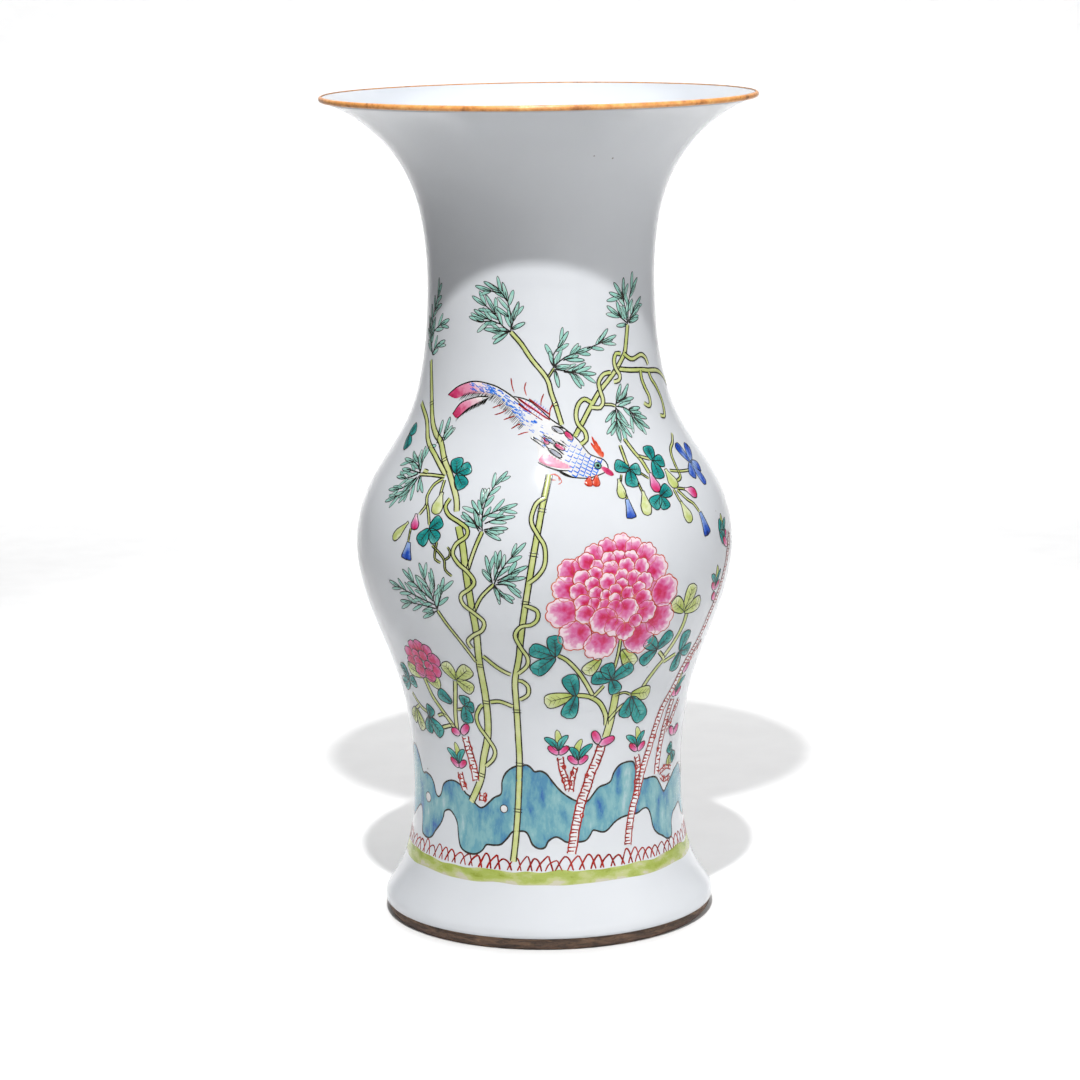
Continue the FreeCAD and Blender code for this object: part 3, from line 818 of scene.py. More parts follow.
def paint_rocks():
    rocks = Paint("painted_rocks", "rock_enamel")
    top, foot = all_round(ROCK_TOP), all_round(ROCK_FOOT)

    def load(t, u):
        edge = max(0.0, 1.0 - 6.0 * min(u, 1.0 - u))
        return 0.5 + 0.34 * noise.noise(Vector((t * 60.0, u * 1.6, 2.0))) - 0.14 * edge

    rocks.band(even_steps(top), even_steps(foot), rock_blue, 0.0, load,
               (0.0, 0.04, 0.14, 0.28, 0.42, 0.56, 0.7, 0.84, 0.96, 1.0))
    for path in (top, foot):
        rocks.stroke(path, 1.35, ink, 0.06, shade=(0.65, 0.75))
    for sign in (1, -1):
        for angle, height, across, tall in ROCK_HOLES:
            hole = ring((sign * angle, height), across, tall, 20)
            rocks.patch(hole, white_enamel, 0.05)
            rocks.stroke(hole, 1.0, ink, 0.08, closed=True)
    rocks.finish("rock_band_enamel")


def round_noise(degrees, size, depth):
    """Noise that meets itself after a full turn."""
    a = math.radians(degrees)
    return noise.noise(Vector((size * math.cos(a), size * math.sin(a), depth)))


def paint_grass():
    """Green ground line with ragged edges, and a row of crossed red blades above it."""
    rng = random.Random(11)
    grass = Paint("painted_grass", "grass_enamel")
    angles = [-180.0 + i for i in range(361)]
    top = [(angle, 40.2 + 1.8 * round_noise(angle, 6.0, 3.0)) for angle in angles]
    foot = [(angle, 33.0 + 1.1 * round_noise(angle, 4.0, 9.0)) for angle in angles]

    def load(t, u):
        return 0.48 + 0.5 * round_noise(360.0 * t, 9.0, u * 2.2) + 0.9 * max(0.0, u - 0.55)

    grass.band(top, foot, grass_green, 0.0, load, (0.0, 0.06, 0.25, 0.45, 0.65, 0.85, 0.95, 1.0))
    angle = -180.0
    while angle < 179.0:
        high = 46.6 + rng.uniform(-0.8, 1.8)
        lean = rng.uniform(-0.4, 2.6)
        wide = rng.uniform(2.7, 3.7)
        tone = rng.random()
        blade = ((angle - wide, 40.4), (angle - 0.55 * wide, 44.0), (angle + lean * 0.5, high),
                 (angle + 0.6 * wide, high - 1.6), (angle + wide, 40.2))
        grass.line(blade, rng.uniform(0.95, 1.35), iron_red, 0.05, step=1.0, ends=(0.9, 0.5),
                   shade=(0.4 * tone, 0.5 * rng.random()))
        angle += rng.uniform(3.6, 4.9)
    grass.finish("grass_band_enamel")


# ---- peony and its foliage --------------------------------------------------------------
# A petal is its angle, height and radius in mm, from the outside of the flower to its middle.
FLOWER = (-68.0, 192.0)
PETALS = (
    (-66.5, 220.5, 5.2), (-71.2, 219, 5.2), (-62.6, 218.5, 5.0), (-75.2, 216.5, 5.2), (-58.6, 214.5, 5.8),
    (-55.4, 206.5, 6.6), (-82.6, 208.8, 5.8), (-79, 210.5, 5.0), (-83.8, 199.5, 6.4), (-84.6, 186.5, 8.0),
    (-80.4, 174, 8.2), (-72.4, 167.6, 8.4), (-59, 169.5, 8.8), (-52.6, 178.6, 8.6), (-52, 193.4, 8.2),
    (-68, 213.6, 4.2), (-64, 213.2, 4.2), (-71, 213.8, 3.8), (-77.6, 213.4, 4.2), (-74.6, 210.6, 3.4),
    (-70.4, 208, 4.6), (-65.6, 209.2, 4.4), (-60.6, 208.4, 4.2), (-75.2, 206.6, 3.8), (-79, 204.4, 4.4),
    (-67, 204.4, 3.8), (-63.2, 202.8, 4.2), (-71.4, 202.2, 4.2), (-76, 201.2, 3.8), (-80, 197.8, 4.4),
    (-67, 200, 3.4), (-59.6, 200.2, 4.8), (-75, 196.4, 3.6), (-72, 195.2, 3.0), (-69, 197, 3.4),
    (-65, 195, 3.6), (-61.6, 196.6, 4.0), (-78.6, 191.6, 4.4), (-75.4, 190.6, 3.6), (-72, 189, 4.0),
    (-69, 192.6, 3.2), (-60, 191, 5.0), (-78, 185.4, 5.0), (-58.4, 184, 6.0), (-68.8, 188, 4.4),
    (-65, 186, 6.6), (-72, 181.6, 7.2), (-68.4, 177.4, 5.4), (-64.6, 174.4, 5.0), (-61.6, 179.4, 3.8),
)
BUD = (-138, 153)
BUD_PETALS = (
    (-140.5, 160, 4.2), (-137.6, 161.2, 4.0), (-134.2, 159.6, 3.8), (-144.2, 155.5, 4.4),
    (-132.2, 154.6, 4.4), (-145, 150.4, 4.0), (-140.6, 156, 3.2), (-137, 156, 3.4), (-133, 148.6, 4.6),
    (-140.6, 151.8, 3.8), (-135.6, 150.6, 3.4), (-141, 146.8, 4.6), (-136.4, 145.2, 4.4),
)


def petal(paint, place, middle, level, rng, edge, paleness=1.0):
    """Cupped petal: crimson near its root, pale at a scalloped rim drawn in a fine line."""
    angle, height, radius = place
    spot = (angle, height)
    away = heading([middle, spot], 0)
    lobes = 8 if radius > 5.0 else 6
    facing = math.atan2(away[1], away[0])
    turn = rng.uniform(0.0, math.pi)
    stretch = rng.uniform(0.02, 0.2)
    count = 6 * lobes
    rim = []
    for i in range(count):
        a = TURN * i / count
        outer = 0.5 + 0.5 * math.cos(a - facing)
        scallop = 0.2 * (abs(math.sin(0.5 * lobes * a + turn)) ** 0.6 - 0.5) * outer * paleness
        reach = radius * (0.98 + stretch * (outer - 0.4) + scallop - 0.05 * rng.random())
        rim.append(skin.shift(*spot, reach * math.cos(a), reach * math.sin(a)))
    root = aside(spot, away, 0.0, -0.3 * radius)
    depth = rng.uniform(-0.06, 0.12)

    def load(f, where):
        streak = noise.noise(Vector((0.9 * where[0], 0.5 * where[1], 40.0 * level)))
        tone = min(1.0, 0.86 * spread(root, where) / radius) - depth + 0.4 * streak
        return (tone + 0.25 * (f > 0.92)) * paleness

    paint.patch(rim, petal_pink, level, load, (1.0, 0.95, 0.84, 0.66, 0.46, 0.26, 0.1))
    paint.stroke(rim, 0.6, edge, level + 0.06, closed=True,
                 shade=(rng.uniform(0.0, 0.7), rng.uniform(0.0, 0.9)))


def paint_peony(name, mirrored, *replaced):
    rng = random.Random(23)
    flower = Paint(name, "pink_enamel", mirrored)
    flower.patch(ring(FLOWER, 29.0, 26.0, 40), petal_pink, 0.0, lambda f, where: 0.7,
                 (1.0, 0.97, 0.8, 0.6, 0.4, 0.2, 0.04))
    for i, (angle, height, radius) in enumerate(PETALS):
        petal(flower, (angle, height, 1.08 * radius), FLOWER, 0.04 + 0.008 * i, rng, petal_edge)
    flower.finish(*replaced)


# A trefoil is its centre and the tips of its leaves.
DARK_TREFOILS = (
    ((-87, 161.5), (-95.2, 166.5), (-87.2, 174), (-94.5, 152)),
    ((-79.2, 138), (-82.5, 150.5), (-82.3, 125)),
    ((-66.4, 145.6), (-69.4, 155.4), (-58.8, 153), (-63.4, 137.4), (-74, 148.2)),
    ((-50, 160), (-55.6, 167), (-44.8, 168.5), (-55.8, 153)),
    ((-36.5, 155), (-36.3, 167), (-29.8, 154.5), (-37, 143.5)), ((-56.5, 134), (-58.6, 122), (-49, 118.5)),
    ((-144.5, 118.5), (-141.5, 125.5), (-146.5, 109.5), (-137, 110)), ((-128.5, 130.5), (-134.5, 136)),
    ((-122.5, 130), (-122, 136), (-118.5, 129.5), (-122.5, 120)),
    ((-153, 137), (-155, 147), (-147.5, 138), (-160.5, 133)), ((-25.5, 94), (-28.5, 98.5), (-22, 89)),
)
PALE_TREFOILS = (
    ((-80.5, 138), (-90.8, 134.5)), ((-71.6, 159), (-76.6, 150.5)), ((-64.5, 163), (-58.8, 152.5)),
    ((-41.5, 179), (-47.8, 187), (-39, 194), (-33.5, 183)), ((-57, 135.5), (-47.8, 134.5)),
    ((-123.8, 145), (-127.8, 154.5), (-117, 153), (-117.5, 139.5)),
    ((-154.5, 121), (-160, 113), (-151, 109)), ((-140, 143.5), (-149.5, 146.5)),
    ((-139.5, 143), (-132, 140.5)), ((-27.5, 93), (-27, 87)),
)
FLOWER_STEMS = (
    (((-86, 162), (-83, 159), (-79, 152), (-75.5, 144), (-73, 137.5)), 2.4),
    (((-79, 138), (-76, 137.5), (-73, 136), (-69.5, 132), (-66.8, 125), (-66.2, 119)), 2.8),
    (((-69, 142.5), (-72, 137.5), (-73.2, 136.2)), 2.0), (((-65.6, 169), (-65.6, 160), (-66, 152)), 1.8),
    (((-64.6, 163), (-62.5, 161)), 1.4), (((-71.8, 163), (-71.6, 158)), 1.4),
    (((-63.6, 138), (-63.8, 130), (-64.6, 120), (-66, 112)), 4.6),
    (((-65.4, 121.6), (-60.5, 129), (-57, 130.6)), 2.0), (((-63.8, 136), (-60, 137), (-57, 135)), 1.4),
    (((-52, 138), (-50, 143), (-47, 149), (-45, 152)), 2.6),
    (((-39.8, 178), (-40.2, 170), (-42.5, 161), (-45.5, 154)), 3.0),
    (((-39, 154), (-42, 152.5), (-44.5, 151)), 2.4), (((-48.5, 158), (-45.5, 154), (-44.6, 152.4)), 2.2),
    (((-140.5, 142), (-138.8, 133), (-136, 127), (-132, 120), (-129, 115)), 2.6),
    (((-124.5, 144), (-126.5, 133), (-128, 124), (-128.5, 115)), 2.6),
    (((-123.5, 128), (-126.5, 127)), 1.6), (((-145.5, 121.5), (-150, 124), (-154, 130)), 2.2),
    (((-150, 124), (-155, 120.5)), 2.0), (((-138, 121), (-135, 122.5), (-132.8, 121.4)), 1.8),
    (((-136.5, 114.6), (-131, 117), (-129.6, 116)), 2.2),
)
ROSY_SCALES = (
    ((-68.6, 109), (-71.6, 116.5)), ((-68.8, 108.4), (-62, 111.5)), ((-126.2, 113), (-122.5, 119)),
    ((-127, 113), (-131.4, 114.6)), ((-25, 104), (-29.5, 109)), ((-25, 104), (-20, 108)),
    ((-22.5, 180), (-25.6, 184)), ((-16.6, 208), (-20.6, 213)), ((-28.6, 140), (-25, 145)),
)
SHOOTS = (
    (-85.6, 106.5, -0.8), (-77.6, 100.5, 2.0), (-50.4, 103.5, -1.5), (-129.8, 95.5, -1.0),
    (-29.5, 129, 1.0), (-24.6, 188, -1.0), (-19.6, 214, 1.0),
)
TRUNKS = (
    (((-67.5, 108), (-69.5, 100), (-71.8, 93), (-73.5, 86), (-75.8, 78), (-77.4, 70), (-78.8, 62),
     (-80.6, 49)), (4.2, 5.0)),
    (((-84.8, 103), (-84, 96), (-82.6, 90), (-81.4, 84)), (2.6, 3.0)),
    (((-78.4, 97), (-79.6, 91), (-80.4, 83)), (2.0, 2.6)),
    (((-50.4, 99), (-49.2, 93), (-49.4, 85), (-50.2, 76)), (3.0, 3.0)),
    (((-13, 214), (-14.8, 207), (-17, 197.4), (-19.4, 184), (-22.6, 172), (-24.4, 158), (-29.2, 145.4),
     (-32.8, 133), (-37.4, 123), (-40.5, 112), (-43, 102), (-46.5, 90), (-49.5, 78), (-52.4, 68),
     (-55.4, 50)), (3.2, 4.8)),
    (((-20, 156), (-24, 150), (-28, 144)), (2.4, 2.8)),
    (((-31, 126), (-33, 116), (-35.5, 104), (-36.8, 94), (-37.5, 85)), (3.0, 4.2)),
    (((-24.5, 124), (-29, 114), (-33, 108)), (2.4, 3.0)), (((-25, 85), (-30, 87), (-35.5, 85)), (1.8, 2.2)),
    (((-26, 81), (-31, 80), (-34.5, 83)), (1.8, 2.2)),
    (((-124.8, 112), (-123.4, 103), (-122, 95), (-121.2, 87)), (3.6, 4.4)),
    (((-129.2, 91), (-128.4, 86), (-127, 81)), (3.0, 3.2)), (((-118, 81), (-118.6, 76)), (3.4, 3.6)),
)


def paint_foliage(side, mirrored):
    rng = random.Random(41)
    wood = Paint("hatched_trunks_" + side, "rock_enamel", mirrored)
    for stations, width in TRUNKS:
        trunk(wood, stations, width, rng)
    wood.finish()
    green = Paint("peony_foliage_" + side, "grass_enamel", mirrored)
    for stations, width in FLOWER_STEMS:
        cane(green, stations, width)
    trefoils(green, PALE_TREFOILS, pale_leaf, 0.12)
    trefoils(green, DARK_TREFOILS, deep_green, 0.14)
    for angle, height, lean in SHOOTS:
        shoot(green, (angle, height), lean)
    for base, tip in ROSY_SCALES:
        green.blade(base, tip, 4.6, "pod", petal_pink, level=0.2, shade=(1.0, 0.05))
    green.finish()
    bud = Paint("peony_bud_" + side, "pink_enamel", mirrored)
    for i, place in enumerate(BUD_PETALS):
        petal(bud, place, BUD, 0.03 + 0.01 * i, rng, ink, 0.5)
    bud.finish()


# ---- climbing flowers ---------------------------------------------------------------------
# A pod or bud is its base, tip and width.
CLIMBER_TREFOILS = (
    ((-122.4, 256), (-124.4, 263.5), (-117.4, 260), (-118, 249.5)),
    ((-127.2, 228), (-130.5, 220), (-123.2, 233.5), (-123.6, 222.5)),
    ((-57.6, 257), (-63.2, 260), (-53.2, 256.5), (-58.8, 248.5)),
    ((-45.8, 259.5), (-45.6, 267), (-40.4, 258.5), (-46, 250.5)),
    ((-49, 242.5), (-53.6, 238), (-43.6, 245.5), (-48, 235.8)), ((-160.5, 270), (-156, 275), (-155.5, 264)),
    ((-23, 217), (-20, 222), (-19, 212)),
)
CLIMBER_STEMS = (
    (((-127.5, 253), (-130.5, 249.5), (-131.6, 244), (-130.8, 239.5), (-132.6, 234.5)), 1.7),
    (((-131, 241), (-129, 236), (-127.6, 230)), 1.5), (((-126.6, 252.5), (-126.4, 245)), 1.5),
    (((-134.8, 227), (-135, 220)), 1.2), (((-123.8, 222), (-124.2, 217), (-124, 213), (-122, 211.5)), 1.2),
    (((-125.4, 220), (-122.6, 216.5), (-120.8, 213), (-120.4, 208), (-118.2, 205)), 1.2),
    (((-120.8, 213), (-119.2, 215), (-119, 218), (-120, 220)), 1.0),
    (((-55.5, 272), (-53, 265), (-51, 260), (-50, 254)), 2.2), (((-52, 263), (-47, 260.5)), 1.8),
    (((-58.4, 269), (-58, 258.5)), 1.8), (((-54, 255), (-51, 251.5)), 1.2),
    (((-56.3, 252), (-55.6, 245)), 1.2), (((-61.6, 255), (-63, 251)), 1.0),
    (((-62.4, 247), (-62, 243)), 1.0), (((-39.6, 253.5), (-34, 252), (-28, 251.3)), 1.5),
    (((-42, 244.5), (-41.5, 240), (-40.8, 237)), 1.5), (((-40, 244.5), (-38, 244), (-36, 243)), 1.4),
    (((-40.5, 244), (-37.5, 238.5), (-35, 235.5), (-33.4, 231)), 1.7),
    (((-38.6, 248), (-35.6, 249.5), (-35.2, 255), (-34.4, 260), (-32.5, 263.5), (-29, 266),
     (-25.6, 270)), 1.7),
)
PODS = (
    ((-125.9, 246.5), (-126.2, 235.6), 6.4), ((-136.4, 229.8), (-142.2, 219.6), 4.6),
    ((-63.2, 253), (-63.6, 243.5), 4.6), ((-55.4, 246), (-56.2, 234), 5.8),
    ((-41.6, 254.5), (-40.4, 244.8), 6.4), ((-41, 238), (-39, 226.8), 6.0),
)
PINK_BUDS = (
    ((-133.8, 234.5), (-133.2, 226.6), 5.4), ((-49.6, 254), (-49.4, 244.4), 6.0),
    ((-36.6, 243.5), (-31, 239.6), 6.0),
)
BLUE_BUDS = (
    ((-134.7, 219.8), (-135.4, 210.6), 6.4), ((-62.2, 243), (-62, 233.5), 4.8),
    ((-33, 230.5), (-31.2, 218), 6.0),
)
BLUE_FLOWER = (
    (-24.2, 254.5), ((-27.4, 264.8), (-17.6, 262.8), (-18.4, 250.5), (-21.4, 242.4), (-28.6, 247.6)),
)


def paint_climber(side, mirrored):
    plant = Paint("climber_" + side, "grass_enamel", mirrored)
    for stations, width in CLIMBER_STEMS:
        cane(plant, stations, width)
    trefoils(plant, CLIMBER_TREFOILS, deep_green, 0.12)
    blooms = Paint("climber_blooms_" + side, "pink_enamel", mirrored)
    for paint, buds, widen, form, fill, shade in (
            (plant, PODS, 1.1, "pear", pale_leaf, (0.95, 0.55)),
            (blooms, PINK_BUDS, 1.05, "pear", petal_pink, (1.15, 0.0)),
            (blooms, BLUE_BUDS, 1.4, "trumpet", petal_blue, (1.1, 0.1))):
        for base, tip, width in buds:
            paint.blade(base, tip, widen * width, form, fill, level=0.06, shade=shade)
    centre, tips = BLUE_FLOWER
    for tip in tips:
        blooms.blade(centre, tip, 6.6, "lobe", petal_blue, level=0.06, shade=(0.9, 0.35))
    plant.finish()
    blooms.finish()


# ---- pheasant -------------------------------------------------------------------------------
# A feather is its base, tip and width.
TAIL_TOP = (
    (-138, 294), (-133, 298.5), (-127, 301.5), (-121, 302.5), (-113, 301), (-108, 298.6), (-103, 295),
    (-98, 290),
)
TAIL_FOOT = (
    (-138, 294), (-133, 292.6), (-128, 294.6), (-121, 296.2), (-113, 295), (-108, 291.6), (-103, 286),
    (-98, 279),
)
SECOND_TOP = ((-133, 284.6), (-130, 290), (-126, 292.6), (-120, 294.6), (-115, 295))
SECOND_FOOT = ((-133, 284.6), (-130, 282.8), (-126, 287), (-120, 291), (-115, 293.6))
BACK = (
    (-103, 295.6), (-97, 294), (-92, 290), (-87, 284.4), (-83, 281), (-79.5, 277.6), (-76, 273.4),
    (-74, 269.6), (-72, 266), (-69.6, 264.4), (-67.2, 263), (-66, 260.6), (-66.2, 257.6),
)
BELLY = (
    (-103, 286), (-98, 279), (-95, 275), (-92.4, 270), (-92, 264), (-89, 260.6), (-84, 258.4), (-80, 255.6),
    (-77, 254.8), (-74, 254.6), (-71, 255.4), (-68.4, 256.4), (-66.2, 257.6),
)
BREAST = ((-91.8, 264.4), (-89.6, 267.6), (-86, 265.4), (-82, 262.4), (-79, 260.2), (-82, 259.4),
          (-87, 260.6), (-90.6, 262.2))
ROSE_BLADES = (
    ((-101, 294.6), (-87, 283.6), 2.2), ((-101, 292), (-90, 283.4), 2.2), ((-96, 294.4), (-86.6, 286), 1.6),
    ((-90.4, 275), (-87.8, 271.6), 2.4), ((-85.4, 271.8), (-81.6, 268.6), 2.6),
    ((-81, 277.6), (-78, 273.4), 2.8),
)
GREY_BLADES = (
    ((-86.4, 280), (-81.4, 277), 2.8), ((-88, 269.4), (-83, 265), 2.6), ((-88.4, 274.4), (-85, 271.6), 1.8),
)
BLACK_STROKES = (
    ((-95, 275), (-92, 272.4), (-89.4, 269.6)), ((-94.2, 275.4), (-90, 272.2), (-87.6, 269)),
    ((-91.4, 276), (-88, 272.6)), ((-90, 276.4), (-86.6, 274)), ((-87.6, 275.4), (-84.6, 272.2)),
    ((-86, 271), (-82, 266.2)), ((-88.8, 270.4), (-86, 266.4), (-83.2, 264)),
    ((-84.8, 273), (-80.6, 269.8)), ((-83, 273.6), (-80.8, 271)),
    ((-86, 279.8), (-84, 277.2), (-82.2, 276.2)), ((-85.4, 280.6), (-80.6, 279)),
    ((-92, 263), (-88, 260.4), (-84, 258.8), (-80.6, 258.6)), ((-84.4, 258.4), (-82, 256.2), (-79, 255)),
)
RED_FILAMENTS = (
    ((-104.6, 305), (-104, 301), (-102.8, 297.4)), ((-97.4, 303), (-98.2, 300), (-97.2, 296)),
    ((-89.4, 297), (-90.6, 293.6), (-90.8, 290.4)), ((-85, 292), (-86.6, 289.4), (-87.4, 283)),
    ((-112.6, 289.4), (-107.6, 291.8)), ((-111.4, 286), (-108.8, 286.8), (-105.4, 289)),
    ((-107, 283.6), (-104, 285), (-100.6, 286)), ((-103.4, 279.2), (-100, 281.6), (-96.4, 282)),
    ((-100.4, 276.2), (-97.6, 277.4), (-95.4, 277.8)),
)
FOOT_LOOPS = (
    ((-88, 256.6), (-86, 257.2), (-84.4, 255.4), (-83.8, 253.2), (-85.2, 252.2)),
    ((-86.4, 257), (-84.8, 256), (-84.6, 253.8)), ((-88.2, 255.6), (-86.8, 254.4), (-85.6, 254.2)),
)
CREST_ROOT = (-67.4, 263.8)
CREST_TIPS = ((-70.8, 271.6), (-69.9, 274.6), (-68.6, 272.4), (-67.6, 269.6), (-66.6, 266.8))
WATTLES = (((-73.6, 255.2), (-74.8, 250.8)), ((-71, 255.6), (-72.2, 250.4)))
BEAK = ((-68.6, 259.4), (-64.6, 255.0))
EYE = (-69.8, 260.2)
BIRD_STEPS = 40          # spots along each outline of the bird


def even(stations):
    """Path cut into the same number of steps for every outline of the bird."""
    path = curve(stations, 0.5)
    return [path[round(i * (len(path) - 1) / BIRD_STEPS)] for i in range(BIRD_STEPS + 1)]


def tail(bird, top, foot, rosy, first, rng):
    """Long feather, rosy at its end, with a fringe of black barbs from a step onward."""
    upper, fringe = even(top), even(foot)
    bird.band(upper, fringe, white_enamel, 0.02)
    bird.band(upper[:rosy], fringe[:rosy], feather_rose, 0.05,
              lambda t, u: 0.02 + t ** 0.8 + 0.2 * (0.5 - u))
    bird.stroke(upper, 0.8, ink, 0.1, shade=(0.0, 0.6))
    for i in range(first, BIRD_STEPS - 1):
        for part in (0.0, 0.5):
            root = between(fringe[i], fringe[i + 1], part)
            end = skin.shift(*root, -1.5 + rng.uniform(-0.5, 0.5), -1.9 + rng.uniform(-0.7, 0.5))
            bird.stroke([skin.shift(*root, 1.3, 1.5), end], (0.75, 0.5), ink, 0.1, shade=(0.0, 0.5))


def rose_blade(bird, base, tip, width):
    """Rosy feather: a long plume with a red shaft and blue barbs, or a short one edged in black."""
    if base[1] <= 290:
        bird.blade(base, tip, width, "pod", feather_rose, ink, 0.05, (0.2, 0.6))
        return
    bird.blade(base, tip, width, "pod", feather_rose, None, 0.05, (0.5, 0.7))
    bird.line((base, tip), (1.1, 0.7), iron_red, 0.14, shade=(0.0, 0.3))
    for k in range(2, 9):
        spot = between(base, tip, k / 10.0)
        bird.stroke([skin.shift(*spot, 0.5, 0.3), skin.shift(*spot, 1.1, 1.3)], 0.7, scale_blue, 0.16)


def scales(bird, back, belly, rng):
    """Rows of blue scales on the neck and breast, each second row set half a scale on."""
    for row in range(19, BIRD_STEPS - 4, 2):
        for column in range(1, 7):
            shade = 0.7 * rng.random()
            spot = between(back[row], belly[row], (column + 0.5 * (row % 4 == 1)) / 7.0)
            if spot[0] < -81.0:
                continue
            size = rng.uniform(0.9, 1.25)
            corners = ((-1.7 * size, 0.5 * size), (0.1, -0.7 * size), (1.2 * size, 0.9 * size))
            bird.stroke([skin.shift(*spot, *corner) for corner in corners], (1.0, 0.8), scale_blue, 0.1,
                        ends=(0.7, 0.6), shade=(shade, shade))


def flecks(bird, top, foot, rng, count, steps, shares, largest, slant, width, deepest):
    """Blue flecks strewn between two outlines."""
    for _ in range(count):
        i, u = rng.randint(*steps), rng.uniform(*shares)
        spot = between(top[i], foot[i], u)
        size = rng.uniform(0.5, largest)
        ends = [skin.shift(*spot, -size, slant[0] * size), skin.shift(*spot, size, -slant[1] * size)]
        bird.stroke(ends, (width, 1.0), scale_blue, 0.1, ends=(0.7, 0.6),
                    shade=(deepest * rng.random(), 0.8 * rng.random()))


def head(bird):
    """Beak, crest, wattles and eye."""
    bird.blade(*BEAK, 3.6, "pod", feather_rose, None, 0.14, (0.5, 0.0))
    for tip in CREST_TIPS:
        bird.blade(CREST_ROOT, tip, 1.8, "leaf", plume_orange, None, level=0.08, shade=(0.9, 0.1))
    for base, tip in WATTLES:
        bird.blade(base, tip, 4.2, "pear", plume_orange, iron_red, level=0.08, shade=(0.9, 0.1))
    for radius, material, level in ((2.3, ink, 0.12), (1.8, spray_green, 0.15), (1.0, ink, 0.19)):
        bird.patch(ring(EYE, radius, radius, 14), material, level, lambda f, where: 0.1)


def paint_pheasant(name, mirrored, *replaced):
    rng = random.Random(31)
    bird = Paint(name, "bird_enamel", mirrored)
    back, belly = even(BACK), even(BELLY)
    bird.band(back, belly, white_enamel, 0.0)
    tail(bird, TAIL_TOP, TAIL_FOOT, 22, 8, rng)
    tail(bird, SECOND_TOP, SECOND_FOOT, 34, 9, rng)
    for base, tip, width in ROSE_BLADES:
        rose_blade(bird, base, tip, width)
    for base, tip, width in GREY_BLADES:
        bird.blade(base, tip, width, "leaf", feather_grey, level=0.05, shade=(0.3, 0.9), outline=0.65)
    bird.patch(curve(BREAST, 1.5, True), feather_rose, 0.03, lambda f, where: 0.72)
    for stations in BLACK_STROKES:
        bird.line(stations, (1.0, 0.6), ink, 0.12, shade=(0.0, 0.2))
    for path in (back, belly[22:]):
        bird.stroke(path, 0.7, ink, 0.08, shade=(0.2, 0.4))
    for stations in RED_FILAMENTS:
        bird.line(stations, (1.1, 0.6), iron_red, 0.02, shade=(0.2, 0.7))
    for stations in FOOT_LOOPS:
        bird.line(stations, 0.8, iron_red, 0.02, shade=(0.8, 0.9))
    scales(bird, back, belly, rng)
    flecks(bird, back, belly, rng, 46, (0, 17), (0.25, 0.85), 1.0, (0.7, 0.5), 1.4, 0.5)
    flecks(bird, even(TAIL_TOP), even(TAIL_FOOT), rng, 110, (13, BIRD_STEPS), (0.15, 0.8), 1.1, (0.5, 0.5),
           1.3, 0.6)
    head(bird)
    bird.finish(*replaced)


paint_rocks()
paint_grass()
for side, mirrored in (("front", False), ("back", True)):
    paint_foliage(side, mirrored)
    paint_canes(side, mirrored)
    paint_climber(side, mirrored)
paint_peony("painted_peony", False, "peony_enamel")
paint_peony("painted_peony_back", True)
paint_pheasant("painted_pheasant", False, "pheasant_enamel")
paint_pheasant("painted_pheasant_back", True)


# ---- studio, in metres -------------------------------------------------------------------
def paper_with_painted_shade():
    """White paper round the vase, its colour painted grey at both sides as painted shade, for dark
    reflections at the edges of the glaze.
    """
    flare = 0.24                     # the white wedge widens by this with distance in front and behind
    # painted shade: the paper's colour goes from white to grey between these distances beside the white wedge
    white_to, shade_from = 0.40, 1.10
    look = Look("paper_sweep", 1.2)
    grain = look.noise(30.0, 6.0)
    paper = look.ramp(grain, (0.3, (0.90, 0.90, 0.90)), (0.7, (0.925, 0.925, 0.925)))
    parts = look.node("ShaderNodeSeparateXYZ")
    look.link(look.place(), parts.inputs["Vector"])
    aside_by = look.math("ABSOLUTE", parts.outputs["X"])
    depth = look.math("ABSOLUTE", parts.outputs["Y"])
    edge = look.math("MULTIPLY_ADD", depth, -flare, aside_by)
    # painted shade: grey paper colour at the sides, standing in for the unlit studio
    painted_shade = look.remap(edge, white_to, shade_from, 0.0, 1.0)
    return look.finish(look.cover(paper, (0.30, 0.30, 0.31), painted_shade), grain, 0.8, 0.95)


def sweep():
    """Round pale floor that curves up into a wall on every side."""
    middle, radius, bend, top, count = -0.9, 4.1, 1.2, 5.0, 96
    arc_steps = 16
    arc = [0.5 * math.pi * i / arc_steps for i in range(arc_steps + 1)]
    rings = [(0.05, 0.0)] + [(radius - bend + bend * math.sin(a), bend - bend * math.cos(a)) for a in arc]
    rings.append((radius, top))
    verts = [(r * math.cos(a), middle + r * math.sin(a), FLOOR_Z + z)
             for r, z in rings for a in (TURN * i / count for i in range(count))]
    faces = []
    for low in range(0, (len(rings) - 1) * count, count):
        for i in range(count):
            k = (i + 1) % count
            faces.append((low + count + i, low + count + k, low + k, low + i))
    faces.append(tuple(range(count)))
    new_object("paper_sweep", verts, faces, [paper_with_painted_shade()])


def add_lamp(name, kind, place, target, power):
    """Lamp at a place with its beam on a target."""
    data = bpy.data.lights.new(name, kind)
    data.energy = power
    obj = bpy.data.objects.new(name, data)
    obj.location = place
    obj.rotation_euler = (Vector(place) - Vector(target)).to_track_quat("Z", "Y").to_euler()
    bpy.context.scene.collection.objects.link(obj)
    return data


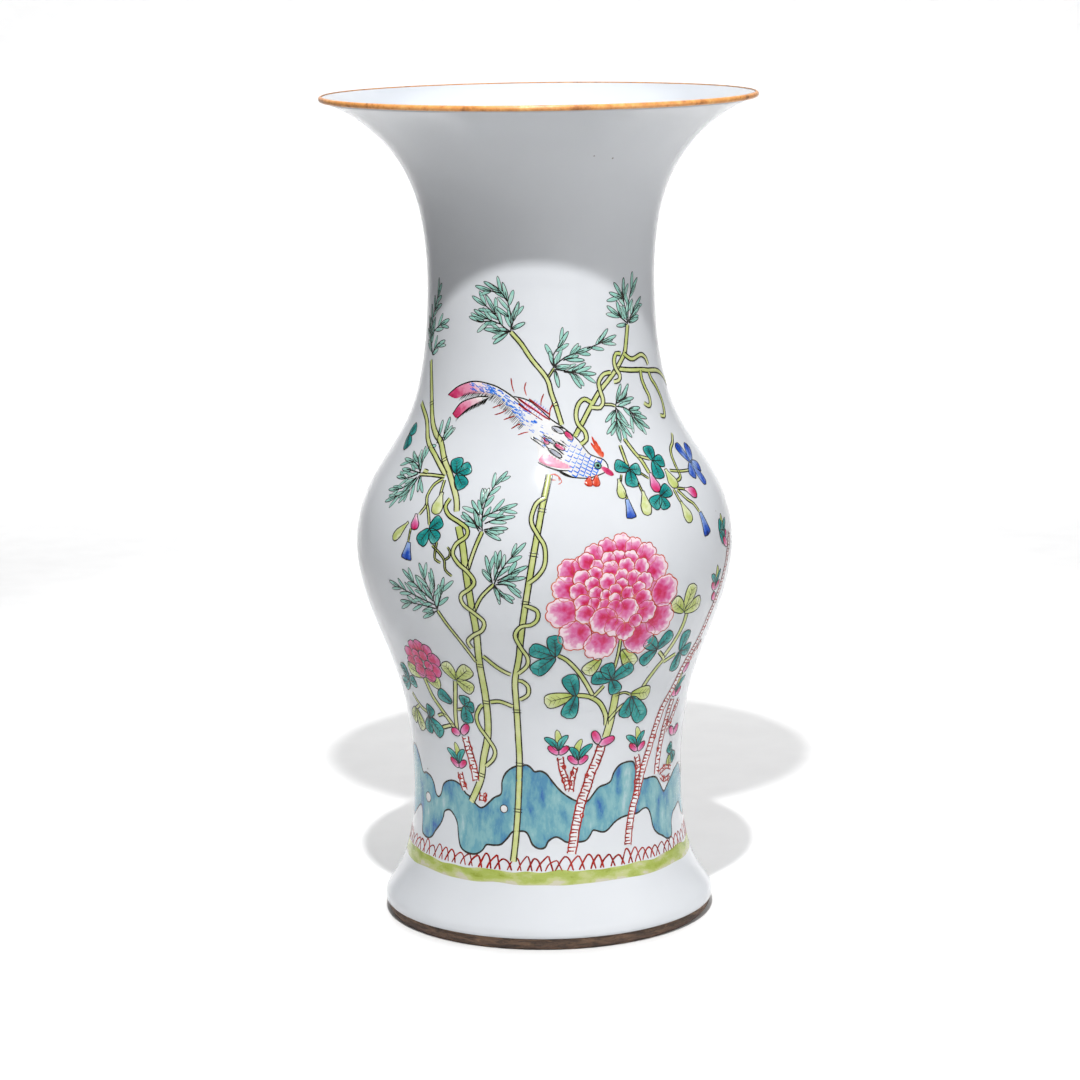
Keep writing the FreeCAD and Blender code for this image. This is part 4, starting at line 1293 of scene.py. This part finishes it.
SOFTBOXES = (            # name, place, target, size, watts, spread in degrees
    ("front_fill", (0.45, -2.3, 0.75), (0.0, 0.0, 0.3), (2.4, 1.6), 11.0, 180.0),
    ("side_fill", (1.5, -0.75, 0.7), (0.0, 0.0, 0.25), (1.0, 1.4), 7.0, 180.0),
    ("overhead", (0.0, 0.6, 2.2), (0.0, 0.5, 0.0), (0.9, 0.9), 12.0, 180.0),
    ("back_wash", (0.0, 1.9, 2.4), (0.0, 2.1, 0.0), (3.0, 2.0), 36.0, 120.0),
    ("front_wash", (0.0, -3.5, 2.6), (0.0, -3.8, 0.0), (3.0, 2.0), 13.0, 120.0),
    ("side_wash", (-2.7, -0.4, 2.6), (-3.0, -0.4, 0.0), (2.0, 3.0), 4.0, 110.0),
    ("side_wash", (2.7, -0.4, 2.6), (3.0, -0.4, 0.0), (2.0, 3.0), 4.0, 110.0),
)


def add_lights():
    """Small key with a soft-edged cone for the clear shadow under the mouth, and soft boxes."""
    key = add_lamp("key", "SPOT", (-0.04, -0.935, 1.67), (0.0, 0.08, 0.15), 121.0)
    key.spot_size = math.radians(38.0)
    key.spot_blend = 0.6
    key.shadow_soft_size = 0.03
    for name, place, target, size, power, spread_by in SOFTBOXES:
        box = add_lamp(name, "AREA", place, target, power)
        box.shape = "RECTANGLE"
        box.size, box.size_y = size
        box.spread = math.radians(spread_by)
    world = bpy.data.worlds.new("studio")
    bpy.context.scene.world = world
    world.use_nodes = True
    sky = world.node_tree.nodes["Background"]
    sky.inputs["Color"].default_value = (0.97, 0.985, 1.0, 1.0)
    sky.inputs["Strength"].default_value = 0.06


def add_camera():
    """Long lens a little above the mouth, tipped down at the body."""
    data = bpy.data.cameras.new("camera")
    data.lens = 110.06
    data.sensor_width = 36.0
    data.shift_x = -0.0041
    obj = bpy.data.objects.new("camera", data)
    pitch, roll = 0.1874, -0.0134
    turn = Matrix.Rotation(math.pi / 2.0 - pitch, 4, "X") @ Matrix.Rotation(roll, 4, "Z")
    obj.matrix_world = Matrix.Translation((0.0, -1.781, 0.5441)) @ turn
    bpy.context.scene.collection.objects.link(obj)
    bpy.context.scene.camera = obj


sweep()
add_lights()
add_camera()
bpy.context.scene.view_settings.view_transform = "Standard"
